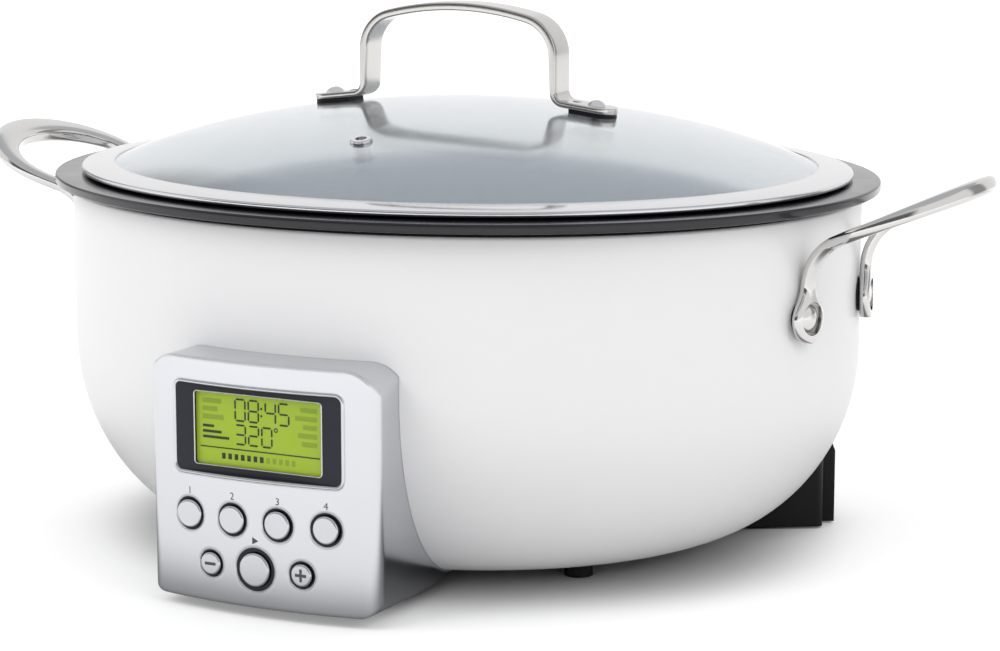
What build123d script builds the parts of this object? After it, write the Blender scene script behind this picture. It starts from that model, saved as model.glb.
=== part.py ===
# Electric skillet: a lift-out oval pot with a loose glass lid, in a heated shell with a control housing.
# Millimetres. The origin is on the table under the pot's axis, +Z is up and the controls face -Y.
# Oval pieces are drawn as round ones with their long half-length as the radius, then narrowed along Y.
import math
import os

from build123d import *

os.makedirs("parts", exist_ok=True)

# Shared sizes
plan_share = 0.885
overrun = 20.0
quarter_turn = 90.0
fit_gap = 0.1
seat_gap = 0.2
running_gap = 0.3

# Outer shell
shell_radius = 177.0
shell_wall = 2.0
shell_floor_z = 4.5
shell_knee_z = 88.4
shell_top_z = 153.8
shell_floor_radius = 102.5
shell_floor_flange = 18.5
shell_lip = 4.2

# Inner liner and rim gasket
liner_wall = 0.8
liner_gap = 2.7
liner_knee_z = 94.8
liner_floor_z = 29.2
liner_floor_radius = 95.0
liner_lip_inset = 2.6
gasket_thick = 1.0
gasket_inset = 0.6

# Heater
heater_post_height = 13.0
heater_post_radius = 4.0
heater_post_circle = 76.0
heater_post_count = 3
heater_plate_radius = 86.0
heater_plate_thick = 7.7
element_circle = 56.0
element_tube_radius = 4.0
element_opening_angle = 26.0
terminal_size = 7.0
terminal_height = 9.0
lead_radius = 1.4
lead_hole_radius = 3.0

# Pot sensor
sensor_hole_radius = 11.0
sensor_cap_radius = 9.8
sensor_cap_thick = 2.2
sensor_skirt_radius = 8.0
sensor_skirt_wall = 1.2
sensor_skirt_length = 12.0
sensor_bracket_wall = 1.6
sensor_bracket_height = 10.0
sensor_bracket_floor = 1.5
spring_radius = 5.2
spring_wire_radius = 0.6
spring_turns = 5

# Thermal fuse
fuse_radius = 2.5
fuse_length = 22.0
fuse_clip_length = 12.0
fuse_clip_width = 9.0
fuse_clip_height = 8.0
fuse_y = 40.0

# Cooking pot
pot_gap = 3.5
pot_wall = 3.0
pot_floor_thick = 4.0
pot_draft = 3.0
pot_knee_z = 114.3
pot_floor_radius = 100.0
flange_overhang = 8.0
flange_thick = 4.0
flange_edge_round = 0.8

# Lid glass and rim
dome_rise = 27.0
dome_shoulder = 45.0
glass_thick = 4.0
glass_in_rim = 3.0
rim_inset = 12.0
rim_band_width = 15.0
rim_lip_thick = 0.8
rim_edge_thick = 2.2
rim_edge_lift = 0.9
rim_edge_round = 0.9
rim_overhang = 5.0
rim_top_fall = 0.9
rim_skirt_depth = 5.0
rim_skirt_gap = 1.8

# Lid handle
strap_width = 15.0
strap_thick = 2.8
strap_leg_x = 47.0
strap_screw_x = 64.3
strap_end_x = 74.0
strap_top_z = 234.0
strap_corner_radius = 17.0
strap_knee_radius = 5.0
strap_arch_angle = 14.0
lid_pad_thick = 1.6
lid_pad_length = 19.0
lid_pad_inset = 0.5
lid_screw_head_radius = 4.4
lid_screw_head_height = 2.4
lid_screw_radius = 2.0
lid_nut_radius = 5.4
lid_nut_thick = 3.0

# Steam vent
vent_x = -1.2
vent_y = -88.4
vent_flange_radius = 4.75
vent_flange_thick = 1.3
vent_tube_radius = 3.4
vent_hole_radius = 2.4
vent_washer_thick = 1.0

# Base plate, feet and rear legs
base_plate_thick = 2.5
base_plate_inset = 10.5
base_slot_length = 40.0
base_slot_width = 4.0
base_slot_pitch = 12.0
base_slot_count = 5
base_screw_count = 4
base_screw_start_angle = 45.0
small_screw_radius = 1.5
small_head_radius = 2.8
small_head_height = 1.6
screw_grip = 4.0
foot_x = 84.5
foot_y = -57.5
foot_radius = 6.0
leg_angle = 30.0
leg_inner_inset = 79.0
leg_outer_inset = 17.5
leg_width = 38.0
leg_corner_round = 3.0
leg_block_height = 62.0
fin_width = 18.0
fin_reach = 6.5
fin_height = 50.5
fin_slope = 17.0
leg_pad_inset = 35.0
leg_pad_radius = 9.0
leg_pad_thick = 2.0
leg_pad_proud = 1.0
leg_screw_inset = 51.0
leg_counterbore = 4.0

# Cord gland
gland_z = 32.0
gland_setback = 2.6
gland_width = 26.0
gland_height = 20.0
gland_corner_round = 4.0
gland_tube_radius = 6.2
gland_bore_radius = 3.6
gland_length = 30.0

# Control housing
panel_proud = 21.4
panel_half_width = 53.0
panel_bottom_z = 4.5
panel_top_z = 103.5
panel_curve_radius = 230.0
panel_top_corner = 14.0
panel_bottom_corner = 8.0
panel_side_round = 6.0
panel_back_half_width = 43.0
panel_depth = 87.0
panel_wall = 3.0
panel_front_wall = 7.5
housing_screw_x = 28.0
housing_screw_share = 0.475
housing_boss_radius = 4.0

# Display
bezel_width = 77.5
bezel_height = 37.0
bezel_corner = 3.5
bezel_thick = 2.3
bezel_center_z = 74.9
bezel_setback = 3.2
lcd_width = 59.0
lcd_height = 30.0
lcd_corner = 1.5
lcd_ledge = 1.0
window_setback = 0.3
window_thick = 1.2
tray_margin = 4.0
tray_depth = 4.5
tray_wall = 1.5

# Buttons
preset_pitch = 21.0
preset_z = 39.4
preset_cap_radius = 5.7
preset_ring = 0.9
start_z = 20.2
start_cap_radius = 6.9
start_ring_width = 1.7
step_x = 21.0
step_cap_radius = 4.6
step_ring = 0.8
button_proud = 1.2
button_round = 0.8
button_travel = 1.2
button_flange = 1.4
button_flange_thick = 0.9
bushing_recess = 0.4
mark_length_share = 1.1
mark_width = 1.1
mark_depth = 0.4

# Boards
board_thick = 1.6
control_board_width = 90.0
control_board_bottom_z = 10.5
control_board_top_z = 96.5
board_boss_radius = 3.0
board_boss_inset = 4.0
switch_size = 6.0
switch_height = 1.5
switch_plunger_radius = 1.7
ribbon_width = 16.0
ribbon_thick = 0.8
ribbon_x = 30.0
ribbon_z = 34.0
ribbon_knee_setback = 48.0
ribbon_bend_radius = 3.0
ribbon_slot_height = 10.0
ribbon_slot_margin = 4.0
power_board_width = 104.0
power_board_length = 62.0
power_board_y = -32.0
power_board_post_height = 8.0
board_post_radius = 3.0
board_post_inset = 6.0
relay_width = 20.0
relay_length = 16.0
relay_height = 10.0
relay_x = -34.0
relay_y = -30.0
capacitor_radius = 5.5
capacitor_height = 10.5
capacitor_x = 34.0
capacitor_y = -32.0
terminal_block_width = 34.0
terminal_block_length = 11.0
terminal_block_height = 8.0

# Side handles
handle_y = 33.0
handle_z = 113.0
handle_pad_thick = 1.0
handle_pad_inset = 3.2
handle_boss_radius = 10.5
handle_boss_height = 5.0
handle_boss_taper = 22.0
handle_recess_radius = 6.9
handle_recess_depth = 3.2
handle_leg_width = 7.4
handle_leg_thick = 5.0
handle_leg_rise = 12.8
handle_bend_radius = 22.0
handle_bend_overlap = 1.0
handle_incline = 23.0
handle_loop_reach = 56.3
handle_loop_center = 16.0
handle_tip_width = 14.5
handle_edge_round = 1.6
handle_screw_head_radius = 6.2
handle_screw_head_height = 2.4
handle_screw_radius = 2.4
handle_socket_radius = 2.6
handle_socket_depth = 1.4
handle_nut_radius = 5.0
handle_nut_thick = 1.6

# Levels and radii that follow from the sizes above
shell_inner_radius = shell_radius - shell_wall
shell_opening_radius = shell_floor_radius - shell_floor_flange
liner_radius = shell_inner_radius - liner_gap
liner_inner_radius = liner_radius - liner_wall
liner_floor_top_z = liner_floor_z + liner_wall
gasket_bottom_z = shell_top_z + liner_wall
gasket_top_z = gasket_bottom_z + gasket_thick
flange_bottom_z = gasket_top_z + seat_gap
flange_top_z = flange_bottom_z + flange_thick
flange_radius = shell_radius + flange_overhang
pot_radius = liner_inner_radius - pot_gap
pot_inner_radius = pot_radius - pot_wall
heater_bottom_z = liner_floor_top_z + heater_post_height
heater_top_z = heater_bottom_z + heater_plate_thick
pot_bottom_z = heater_top_z + running_gap
rim_radius = flange_radius - rim_inset
rim_inner_radius = rim_radius - rim_band_width
rim_seat_z = flange_top_z + seat_gap
rim_skirt_radius = pot_inner_radius - rim_skirt_gap
rim_top_z = rim_seat_z + rim_edge_lift + rim_edge_thick
dome_foot_z = rim_top_z + rim_top_fall
dome_span = rim_inner_radius + dome_shoulder
dome_crown = dome_rise / (1 - math.sqrt(1 - (rim_inner_radius / dome_span) ** 2))
dome_center_z = dome_foot_z + dome_rise - dome_crown
glass_radius = rim_inner_radius + glass_in_rim
base_plate_z = shell_floor_z - base_plate_thick
base_plate_radius = shell_floor_radius - base_plate_inset
power_board_z = shell_floor_z + power_board_post_height
power_board_top_z = power_board_z + board_thick
shell_short_radius = shell_radius * plan_share
gland_reach = shell_short_radius - gland_setback
panel_reach = shell_short_radius + panel_proud
panel_back_reach = panel_reach - panel_depth
shell_floor_short = shell_floor_radius * plan_share
housing_screw_y = -shell_floor_short - housing_screw_share * (shell_short_radius - shell_floor_short)
leg_inner_reach = shell_radius - leg_inner_inset
leg_outer_reach = shell_radius - leg_outer_inset
leg_pad_reach = shell_radius - leg_pad_inset
leg_screw_reach = shell_radius - leg_screw_inset
ribbon_knee_y = ribbon_knee_setback - panel_reach
panel_inner_y = panel_front_wall - panel_reach
panel_center_y = panel_curve_radius - panel_reach
bezel_front_y = bezel_setback - panel_reach
bezel_back_y = bezel_front_y + bezel_thick
window_front_y = bezel_front_y + window_setback
window_back_y = window_front_y + window_thick
control_board_front_y = panel_inner_y + tray_depth
control_board_back_y = control_board_front_y + board_thick
button_back_y = panel_inner_y + running_gap + button_flange_thick

# The seven buttons: name, place across the panel, height, cap radius and width of the ring around it
buttons = [
    ("preset_button_one", -1.5 * preset_pitch, preset_z, preset_cap_radius, preset_ring),
    ("preset_button_two", -0.5 * preset_pitch, preset_z, preset_cap_radius, preset_ring),
    ("preset_button_three", 0.5 * preset_pitch, preset_z, preset_cap_radius, preset_ring),
    ("preset_button_four", 1.5 * preset_pitch, preset_z, preset_cap_radius, preset_ring),
    ("minus_button", -step_x, start_z, step_cap_radius, step_ring),
    ("start_button", 0, start_z, start_cap_radius, start_ring_width),
    ("plus_button", step_x, start_z, step_cap_radius, step_ring),
]


def bowl_section(wall_radius, knee_radius, top_z, knee_z, floor_radius, floor_z, mode=Mode.ADD):
    # Half section of a bowl: flat floor, elliptical corner, straight wall, closed along the axis
    with BuildLine() as outline:
        Line((0, floor_z), (floor_radius, floor_z))
        corner_run = knee_radius - floor_radius
        corner_rise = knee_z - floor_z
        EllipticalCenterArc(
            (floor_radius, knee_z), corner_run, corner_rise, 3 * quarter_turn, arc_size=quarter_turn
        )
        Polyline((knee_radius, knee_z), (wall_radius, top_z), (0, top_z), (0, floor_z))
    return make_face(outline.edges(), mode=mode)


def dome_arc(edge_radius, depth):
    # Arc of the dome from a long-axis radius up to the crown, at a depth inside the glass's outer face
    start_angle = math.degrees(math.acos(edge_radius / (dome_span - depth)))
    arc_size = quarter_turn - start_angle
    return EllipticalCenterArc(
        (0, dome_center_z), dome_span - depth, dome_crown - depth, start_angle, arc_size=arc_size
    )


def glass_section(mode=Mode.ADD):
    # Half section of the lid's glass between two elliptical arcs about one centre
    with BuildLine() as outline:
        outer = dome_arc(glass_radius, 0)
        inner = dome_arc(glass_radius, glass_thick)
        Line(outer @ 0, inner @ 0)
        Line(outer @ 1, inner @ 1)
    return make_face(outline.edges(), mode=mode)


def dome_plane(x, y):
    # Plane on the glass's outer face over a point of the table, its normal pointing out
    long_radius = math.hypot(x, y / plan_share)
    height = dome_crown * math.sqrt(1 - (long_radius / dome_span) ** 2)
    normal = Vector(x / dome_span**2, y / (dome_span * plan_share) ** 2, height / dome_crown**2).normalized()
    return Plane(origin=(x, y, dome_center_z + height), x_dir=Vector(0, 1, 0).cross(normal), z_dir=normal)


def shell_height(x, y):
    # Height of the shell's underside over a point of the table
    reach = math.hypot(x, y / plan_share)
    run = (reach - shell_floor_radius) / (shell_radius - shell_floor_radius)
    return shell_knee_z - (shell_knee_z - shell_floor_z) * math.sqrt(1 - max(run, 0) ** 2)


def shell_side_plane(side, y):
    # Plane on the shell's upright wall at a height of zero, its normal pointing out and its Y axis up
    long_radius = shell_radius
    short_radius = shell_radius * plan_share
    x = long_radius * math.sqrt(1 - (y / short_radius) ** 2)
    normal = Vector(side * x / long_radius**2, y / short_radius**2, 0).normalized()
    return Plane(origin=(side * x, y, 0), x_dir=Vector(0, 0, 1).cross(normal), z_dir=normal)


def screw(head_radius, head_height, shank_radius, shank_length):
    # Domed screw: the head stands on its origin plane and the shank runs down -Z
    cap_radius = (head_radius**2 + head_height**2) / (2 * head_height)
    with BuildPart() as blank:
        with BuildSketch(Plane.XZ) as profile:
            with BuildLine() as outline:
                start_angle = math.degrees(math.acos(head_radius / cap_radius))
                arc = CenterArc((0, head_height - cap_radius), cap_radius, start_angle, 90 - start_angle)
                Polyline(
                    arc @ 1,
                    (0, -shank_length),
                    (shank_radius, -shank_length),
                    (shank_radius, 0),
                    arc @ 0,
                )
            make_face(outline.edges())
        revolve(profile.sketch, axis=Axis.Z)
    return blank.part


def pan_screw(shank_length):
    # Small flat-headed screw with its head's outer face on the origin plane and the shank running up +Z
    with BuildPart() as blank:
        with Locations((0, 0, 0)):
            Cylinder(small_head_radius, small_head_height, align=(Align.CENTER, Align.CENTER, Align.MIN))
        with Locations((0, 0, small_head_height)):
            Cylinder(small_screw_radius, shank_length, align=(Align.CENTER, Align.CENTER, Align.MIN))
    return blank.part


def save(part, name):
    part.label = name
    export_step(part, f"parts/{name}.step")


# Places used by more than one piece
ring_screw_radius = (shell_opening_radius + base_plate_radius) / 2
base_screw_angles = [
    math.radians(base_screw_start_angle + 360 / base_screw_count * i) for i in range(base_screw_count)
]
base_screw_places = [
    (ring_screw_radius * math.cos(a), plan_share * ring_screw_radius * math.sin(a))
    for a in base_screw_angles
]
leg_directions = {
    "left": (-math.cos(math.radians(leg_angle)), math.sin(math.radians(leg_angle))),
    "right": (math.cos(math.radians(leg_angle)), math.sin(math.radians(leg_angle))),
}
housing_screw_places = [(-housing_screw_x, housing_screw_y), (housing_screw_x, housing_screw_y)]
handle_planes = [shell_side_plane(side, y) for side in (-1, 1) for y in (-handle_y, handle_y)]
foot_places = [(-foot_x, foot_y), (foot_x, foot_y)]
heater_angles = [90 + 360 / heater_post_count * i for i in range(heater_post_count)]
heater_post_places = [
    (heater_post_circle * math.cos(math.radians(a)), heater_post_circle * math.sin(math.radians(a)))
    for a in heater_angles
]
half_opening = math.radians(element_opening_angle / 2)
terminal_x = element_circle * math.sin(half_opening) - terminal_size / 2 * math.cos(half_opening)
terminal_y = -element_circle * math.cos(half_opening) - terminal_size / 2 * math.sin(half_opening)
lead_places = [(-terminal_x, terminal_y), (terminal_x, terminal_y)]
control_board_screw_places = [
    (side * (control_board_width / 2 - board_boss_inset), z)
    for side in (-1, 1)
    for z in (control_board_bottom_z + board_boss_inset, control_board_top_z - board_boss_inset)
]
board_post_x = power_board_width / 2 - board_post_inset
board_post_run = power_board_length / 2 - board_post_inset
board_post_places = [
    (side * board_post_x, power_board_y + end * board_post_run) for side in (-1, 1) for end in (-1, 1)
]
front_plane = Plane(origin=(0, 0, 0), x_dir=(1, 0, 0), z_dir=(0, -1, 0))

# Room taken by the shell, a little grown, which the pieces under it are trimmed to
with BuildPart() as shell_envelope:
    with BuildSketch(Plane.XZ):
        bowl_section(
            shell_radius + fit_gap,
            shell_radius + fit_gap,
            shell_top_z,
            shell_knee_z,
            shell_floor_radius,
            shell_floor_z - fit_gap,
        )
    revolve(axis=Axis.Z)
    scale(by=(1, plan_share, 1))

# Outer shell: painted bowl with a turned-in lip and an open floor
with BuildPart() as outer_shell:
    with BuildSketch(Plane.XZ):
        bowl_section(shell_radius, shell_radius, shell_top_z, shell_knee_z, shell_floor_radius, shell_floor_z)
        bowl_section(
            shell_inner_radius,
            shell_inner_radius,
            shell_top_z - shell_wall,
            shell_knee_z,
            shell_floor_radius,
            shell_floor_z + shell_wall,
            mode=Mode.SUBTRACT,
        )
        with Locations((0, shell_top_z)):
            Rectangle(shell_radius - shell_lip, overrun, align=(Align.MIN, Align.CENTER), mode=Mode.SUBTRACT)
        with Locations((0, shell_floor_z)):
            Rectangle(shell_opening_radius, overrun, align=(Align.MIN, Align.CENTER), mode=Mode.SUBTRACT)
    revolve(axis=Axis.Z)
    scale(by=(1, plan_share, 1))
    for plane in handle_planes:
        with Locations(plane.location * Pos(0, handle_z, 0)):
            Cylinder(handle_screw_radius + fit_gap, overrun, mode=Mode.SUBTRACT)
    for x, y in base_screw_places + housing_screw_places:
        with Locations((x, y, shell_height(x, y))):
            Cylinder(small_screw_radius + fit_gap, overrun, mode=Mode.SUBTRACT)
    for x, y in leg_directions.values():
        with Locations((x * leg_screw_reach, y * leg_screw_reach, 0)):
            Cylinder(small_screw_radius + fit_gap, 3 * overrun, mode=Mode.SUBTRACT)
    with BuildSketch(front_plane.offset(panel_back_reach)):
        with Locations((ribbon_x, ribbon_z)):
            Rectangle(ribbon_width + 2 * ribbon_slot_margin, ribbon_slot_height)
    extrude(amount=panel_reach - panel_back_reach, mode=Mode.SUBTRACT)
    with BuildSketch(front_plane.offset(-gland_reach)):
        with Locations((0, gland_z)):
            Circle(gland_tube_radius + fit_gap)
    extrude(amount=gland_length + overrun, mode=Mode.SUBTRACT)
save(outer_shell.part, "outer_shell")

# Inner liner: thin steel well that hangs from the shell's lip
with BuildPart() as inner_liner:
    with BuildSketch(Plane.XZ):
        bowl_section(
            liner_radius,
            liner_radius,
            gasket_bottom_z,
            liner_knee_z,
            liner_floor_radius,
            liner_floor_z,
        )
        with Locations((0, gasket_bottom_z)):
            Rectangle(shell_radius - liner_lip_inset, liner_wall, align=(Align.MIN, Align.MAX))
        bowl_section(
            liner_inner_radius,
            liner_inner_radius,
            gasket_bottom_z,
            liner_knee_z,
            liner_floor_radius,
            liner_floor_top_z,
            mode=Mode.SUBTRACT,
        )
    revolve(axis=Axis.Z)
    scale(by=(1, plan_share, 1))
    for x, y in heater_post_places:
        with Locations((x, y, liner_floor_z)):
            Cylinder(small_screw_radius + fit_gap, overrun, mode=Mode.SUBTRACT)
    for x, y in lead_places:
        with Locations((x, y, liner_floor_z)):
            Cylinder(lead_hole_radius, overrun, mode=Mode.SUBTRACT)
save(inner_liner.part, "inner_liner")

# Rim gasket: silicone ring under the pot's flange that folds down over the liner's lip
with BuildPart() as rim_gasket:
    with BuildSketch(Plane.XY.offset(gasket_bottom_z)):
        gasket_radius = shell_radius - gasket_inset
        Ellipse(gasket_radius, gasket_radius * plan_share)
        Ellipse(liner_inner_radius, liner_inner_radius * plan_share, mode=Mode.SUBTRACT)
    extrude(amount=gasket_thick)
    with BuildSketch(Plane.XY.offset(shell_top_z)):
        Ellipse(gasket_radius, gasket_radius * plan_share)
        lip_radius = shell_radius - liner_lip_inset + fit_gap
        Ellipse(lip_radius, lip_radius * plan_share, mode=Mode.SUBTRACT)
    extrude(amount=gasket_bottom_z - shell_top_z)
save(rim_gasket.part, "rim_gasket")

# Cooking pot: drawn bowl with a wide flat flange
with BuildPart() as cooking_pot:
    with BuildSketch(Plane.XZ) as pot_profile:
        pot_knee_radius = pot_radius - pot_draft
        bowl_section(pot_radius, pot_knee_radius, flange_top_z, pot_knee_z, pot_floor_radius, pot_bottom_z)
        with Locations((0, flange_top_z)):
            Rectangle(flange_radius, flange_thick, align=(Align.MIN, Align.MAX))
        bowl_section(
            pot_inner_radius,
            pot_knee_radius - pot_wall,
            flange_top_z,
            pot_knee_z,
            pot_floor_radius,
            pot_bottom_z + pot_floor_thick,
            mode=Mode.SUBTRACT,
        )
        fillet(pot_profile.vertices().group_by(Axis.X)[-1], flange_edge_round)
    revolve(axis=Axis.Z)
    scale(by=(1, plan_share, 1))
save(cooking_pot.part, "cooking_pot")

# Heating plate with a groove for the element and a hole for the pot sensor
with BuildPart() as heating_plate:
    with Locations((0, 0, heater_bottom_z)):
        Cylinder(heater_plate_radius, heater_plate_thick, align=(Align.CENTER, Align.CENTER, Align.MIN))
        Cylinder(sensor_hole_radius, 2 * overrun, mode=Mode.SUBTRACT)
        Torus(element_circle, element_tube_radius, mode=Mode.SUBTRACT)
save(heating_plate.part, "heating_plate")

# Heating element: open ring of tube, half sunk in the plate
with BuildPart() as heating_element:
    element_start = math.radians(element_opening_angle / 2 - 90)
    start_direction = Vector(math.cos(element_start), math.sin(element_start), 0)
    start_plane = Plane(
        origin=start_direction * element_circle + Vector(0, 0, heater_bottom_z),
        x_dir=start_direction,
        z_dir=Vector(0, 0, 1).cross(start_direction),
    )
    with BuildSketch(start_plane):
        Circle(element_tube_radius)
    revolve(axis=Axis.Z, revolution_arc=360 - element_opening_angle)
save(heating_element.part, "heating_element")

# Element terminals: one block on each end of the element
with BuildPart() as element_terminals:
    for side in (-1, 1):
        angle = math.degrees(half_opening) * side
        terminal_plane = Plane(
            origin=(side * terminal_x, terminal_y, heater_bottom_z),
            x_dir=Vector(1, 0, 0).rotate(Axis.Z, angle),
            z_dir=(0, 0, -1),
        )
        with BuildSketch(terminal_plane):
            Rectangle(terminal_size, terminal_size)
        extrude(amount=terminal_height)
save(element_terminals.part, "element_terminals")

# Heater posts and the screws that come up into them through the liner
with BuildPart() as heater_posts:
    for x, y in heater_post_places:
        with Locations((x, y, liner_floor_top_z)):
            Cylinder(heater_post_radius, heater_post_height, align=(Align.CENTER, Align.CENTER, Align.MIN))
            Cylinder(small_screw_radius, 2 * screw_grip, mode=Mode.SUBTRACT)
save(heater_posts.part, "heater_posts")

heater_screw = pan_screw(liner_wall + screw_grip)
with BuildPart() as heater_screws:
    for x, y in heater_post_places:
        with Locations((x, y, liner_floor_z - small_head_height)):
            add(heater_screw)
save(heater_screws.part, "heater_screws")

# Pot sensor: spring-loaded cap in a cup on the liner's floor
bracket_inner_radius = sensor_skirt_radius + running_gap
spring_floor_z = liner_floor_top_z + sensor_bracket_floor
sensor_top_z = heater_top_z
sensor_cap_bottom_z = sensor_top_z - sensor_cap_thick
with BuildPart() as sensor_bracket:
    with Locations((0, 0, liner_floor_top_z)):
        bracket_radius = bracket_inner_radius + sensor_bracket_wall
        Cylinder(bracket_radius, sensor_bracket_height, align=(Align.CENTER, Align.CENTER, Align.MIN))
    with Locations((0, 0, spring_floor_z)):
        Cylinder(
            bracket_inner_radius,
            sensor_bracket_height,
            align=(Align.CENTER, Align.CENTER, Align.MIN),
            mode=Mode.SUBTRACT,
        )
save(sensor_bracket.part, "sensor_bracket")

with BuildPart() as sensor_plunger:
    with Locations((0, 0, sensor_top_z)):
        Cylinder(sensor_cap_radius, sensor_cap_thick, align=(Align.CENTER, Align.CENTER, Align.MAX))
    with Locations((0, 0, sensor_cap_bottom_z)):
        Cylinder(sensor_skirt_radius, sensor_skirt_length, align=(Align.CENTER, Align.CENTER, Align.MAX))
        Cylinder(
            sensor_skirt_radius - sensor_skirt_wall,
            sensor_skirt_length,
            align=(Align.CENTER, Align.CENTER, Align.MAX),
            mode=Mode.SUBTRACT,
        )
save(sensor_plunger.part, "sensor_plunger")

spring_start_z = spring_floor_z + spring_wire_radius + fit_gap
spring_height = sensor_cap_bottom_z - spring_wire_radius - fit_gap - spring_start_z
spring_pitch = spring_height / spring_turns
with BuildPart() as sensor_spring:
    with BuildLine():
        coil = Helix(spring_pitch, spring_height, spring_radius, center=(0, 0, spring_start_z))
    with BuildSketch(Plane(origin=coil @ 0, z_dir=coil % 0)):
        Circle(spring_wire_radius)
    sweep(path=coil.edge(), is_frenet=True)
save(sensor_spring.part, "sensor_spring")
print("sensor spring least gap", round(spring_pitch - 2 * spring_wire_radius, 2))

# Thermal fuse and the clip that holds it under the plate
fuse_z = heater_bottom_z - fuse_clip_height / 2
with BuildPart() as thermal_fuse:
    with BuildSketch(Plane.YZ.offset(-fuse_length / 2)):
        with Locations((fuse_y, fuse_z)):
            Circle(fuse_radius)
    extrude(amount=fuse_length)
save(thermal_fuse.part, "thermal_fuse")

with BuildPart() as fuse_clip:
    with BuildSketch(Plane.YZ.offset(-fuse_clip_length / 2)):
        with Locations((fuse_y, fuse_z)):
            RectangleRounded(fuse_clip_width, fuse_clip_height, fuse_radius / 2)
            Circle(fuse_radius, mode=Mode.SUBTRACT)
    extrude(amount=fuse_clip_length)
save(fuse_clip.part, "fuse_clip")

# Base plate: oval cover under the shell's floor, with vent slots
with BuildPart() as base_plate:
    with BuildSketch(Plane.XY.offset(base_plate_z)):
        Ellipse(base_plate_radius, base_plate_radius * plan_share)
        with GridLocations(base_slot_pitch, base_slot_length + base_slot_pitch, base_slot_count, 2):
            SlotOverall(base_slot_length, base_slot_width, rotation=90, mode=Mode.SUBTRACT)
    extrude(amount=base_plate_thick)
    for x, y in base_screw_places:
        with Locations((x, y, base_plate_z)):
            Cylinder(small_head_radius + fit_gap, 2 * small_head_height, mode=Mode.SUBTRACT)
            Cylinder(small_screw_radius + fit_gap, overrun, mode=Mode.SUBTRACT)
save(base_plate.part, "base_plate")

base_screw = pan_screw(base_plate_thick - small_head_height + shell_wall + screw_grip)
with BuildPart() as base_screws:
    for x, y in base_screw_places:
        with Locations((x, y, base_plate_z)):
            add(base_screw)
save(base_screws.part, "base_screws")

# Front feet: round rubber feet trimmed to the shell's underside
with BuildPart() as front_feet:
    for x, y in foot_places:
        with Locations((x, y, 0)):
            Cylinder(foot_radius, 2 * overrun, align=(Align.CENTER, Align.CENTER, Align.MIN))
    add(shell_envelope.part, mode=Mode.SUBTRACT)
save(front_feet.part, "front_feet")

# Rear legs: wide blocks with a fin on the outer face, trimmed to the shell's underside
for side, (dir_x, dir_y) in leg_directions.items():
    leg_plane = Plane(origin=(0, 0, leg_pad_proud), x_dir=(dir_x, dir_y, 0), z_dir=(0, 0, 1))
    fin_plane = Plane(origin=(0, 0, leg_pad_proud), x_dir=(dir_x, dir_y, 0), z_dir=(dir_y, -dir_x, 0))
    with BuildPart() as rear_leg:
        with BuildSketch(leg_plane) as leg_plan:
            with Locations((leg_inner_reach, 0)):
                Rectangle(leg_outer_reach - leg_inner_reach, leg_width, align=(Align.MIN, Align.CENTER))
            fillet(leg_plan.vertices().group_by(Axis.X)[-1], leg_corner_round)
        extrude(amount=leg_block_height)
        with BuildSketch(fin_plane):
            fin_top = fin_height - leg_pad_proud
            with BuildLine() as fin_outline:
                Polyline(
                    (leg_outer_reach - fin_reach, 0),
                    (leg_outer_reach + fin_reach, 0),
                    (leg_outer_reach + fin_reach, fin_top - fin_slope),
                    (leg_outer_reach, fin_top),
                    (leg_outer_reach - fin_reach, fin_top),
                    close=True,
                )
            make_face()
        extrude(amount=fin_width / 2, both=True)
        add(shell_envelope.part, mode=Mode.SUBTRACT)
        with Locations(leg_plane.location * Pos(leg_pad_reach, 0, 0)):
            Cylinder(leg_pad_radius + fit_gap, 2 * (leg_pad_thick - leg_pad_proud), mode=Mode.SUBTRACT)
        with Locations(leg_plane.location * Pos(leg_screw_reach, 0, 0)):
            Cylinder(small_head_radius + fit_gap, 2 * leg_counterbore, mode=Mode.SUBTRACT)
            Cylinder(small_screw_radius + fit_gap, 3 * overrun, mode=Mode.SUBTRACT)
    save(rear_leg.part, f"rear_leg_{side}")

with BuildPart() as leg_pads:
    for dir_x, dir_y in leg_directions.values():
        with Locations((dir_x * leg_pad_reach, dir_y * leg_pad_reach, 0)):
            Cylinder(leg_pad_radius, leg_pad_thick, align=(Align.CENTER, Align.CENTER, Align.MIN))
save(leg_pads.part, "leg_pads")

leg_screw_head_z = leg_pad_proud + leg_counterbore - small_head_height
leg_screw_places = [(x * leg_screw_reach, y * leg_screw_reach) for x, y in leg_directions.values()]
leg_screw_top_z = shell_height(*leg_screw_places[0]) + shell_wall + screw_grip
leg_screw = pan_screw(leg_screw_top_z - leg_screw_head_z - small_head_height)
with BuildPart() as leg_screws:
    for x, y in leg_screw_places:
        with Locations((x, y, leg_screw_head_z)):
            add(leg_screw)
save(leg_screws.part, "leg_screws")

# Cord gland: block at the back with a tube that passes through the shell
with BuildPart() as cord_gland:
    with BuildSketch(front_plane.offset(-gland_reach)):
        with Locations((0, gland_z)):
            RectangleRounded(gland_width, gland_height, gland_corner_round)
    extrude(amount=gland_length)
    add(shell_envelope.part, mode=Mode.SUBTRACT)
    with BuildSketch(front_plane.offset(-gland_reach)):
        with Locations((0, gland_z)):
            Circle(gland_tube_radius)
    extrude(amount=gland_length)
    with BuildSketch(front_plane.offset(-gland_reach)):
        with Locations((0, gland_z)):
            Circle(gland_bore_radius)
    extrude(amount=gland_length, mode=Mode.SUBTRACT)
save(cord_gland.part, "cord_gland")


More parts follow.
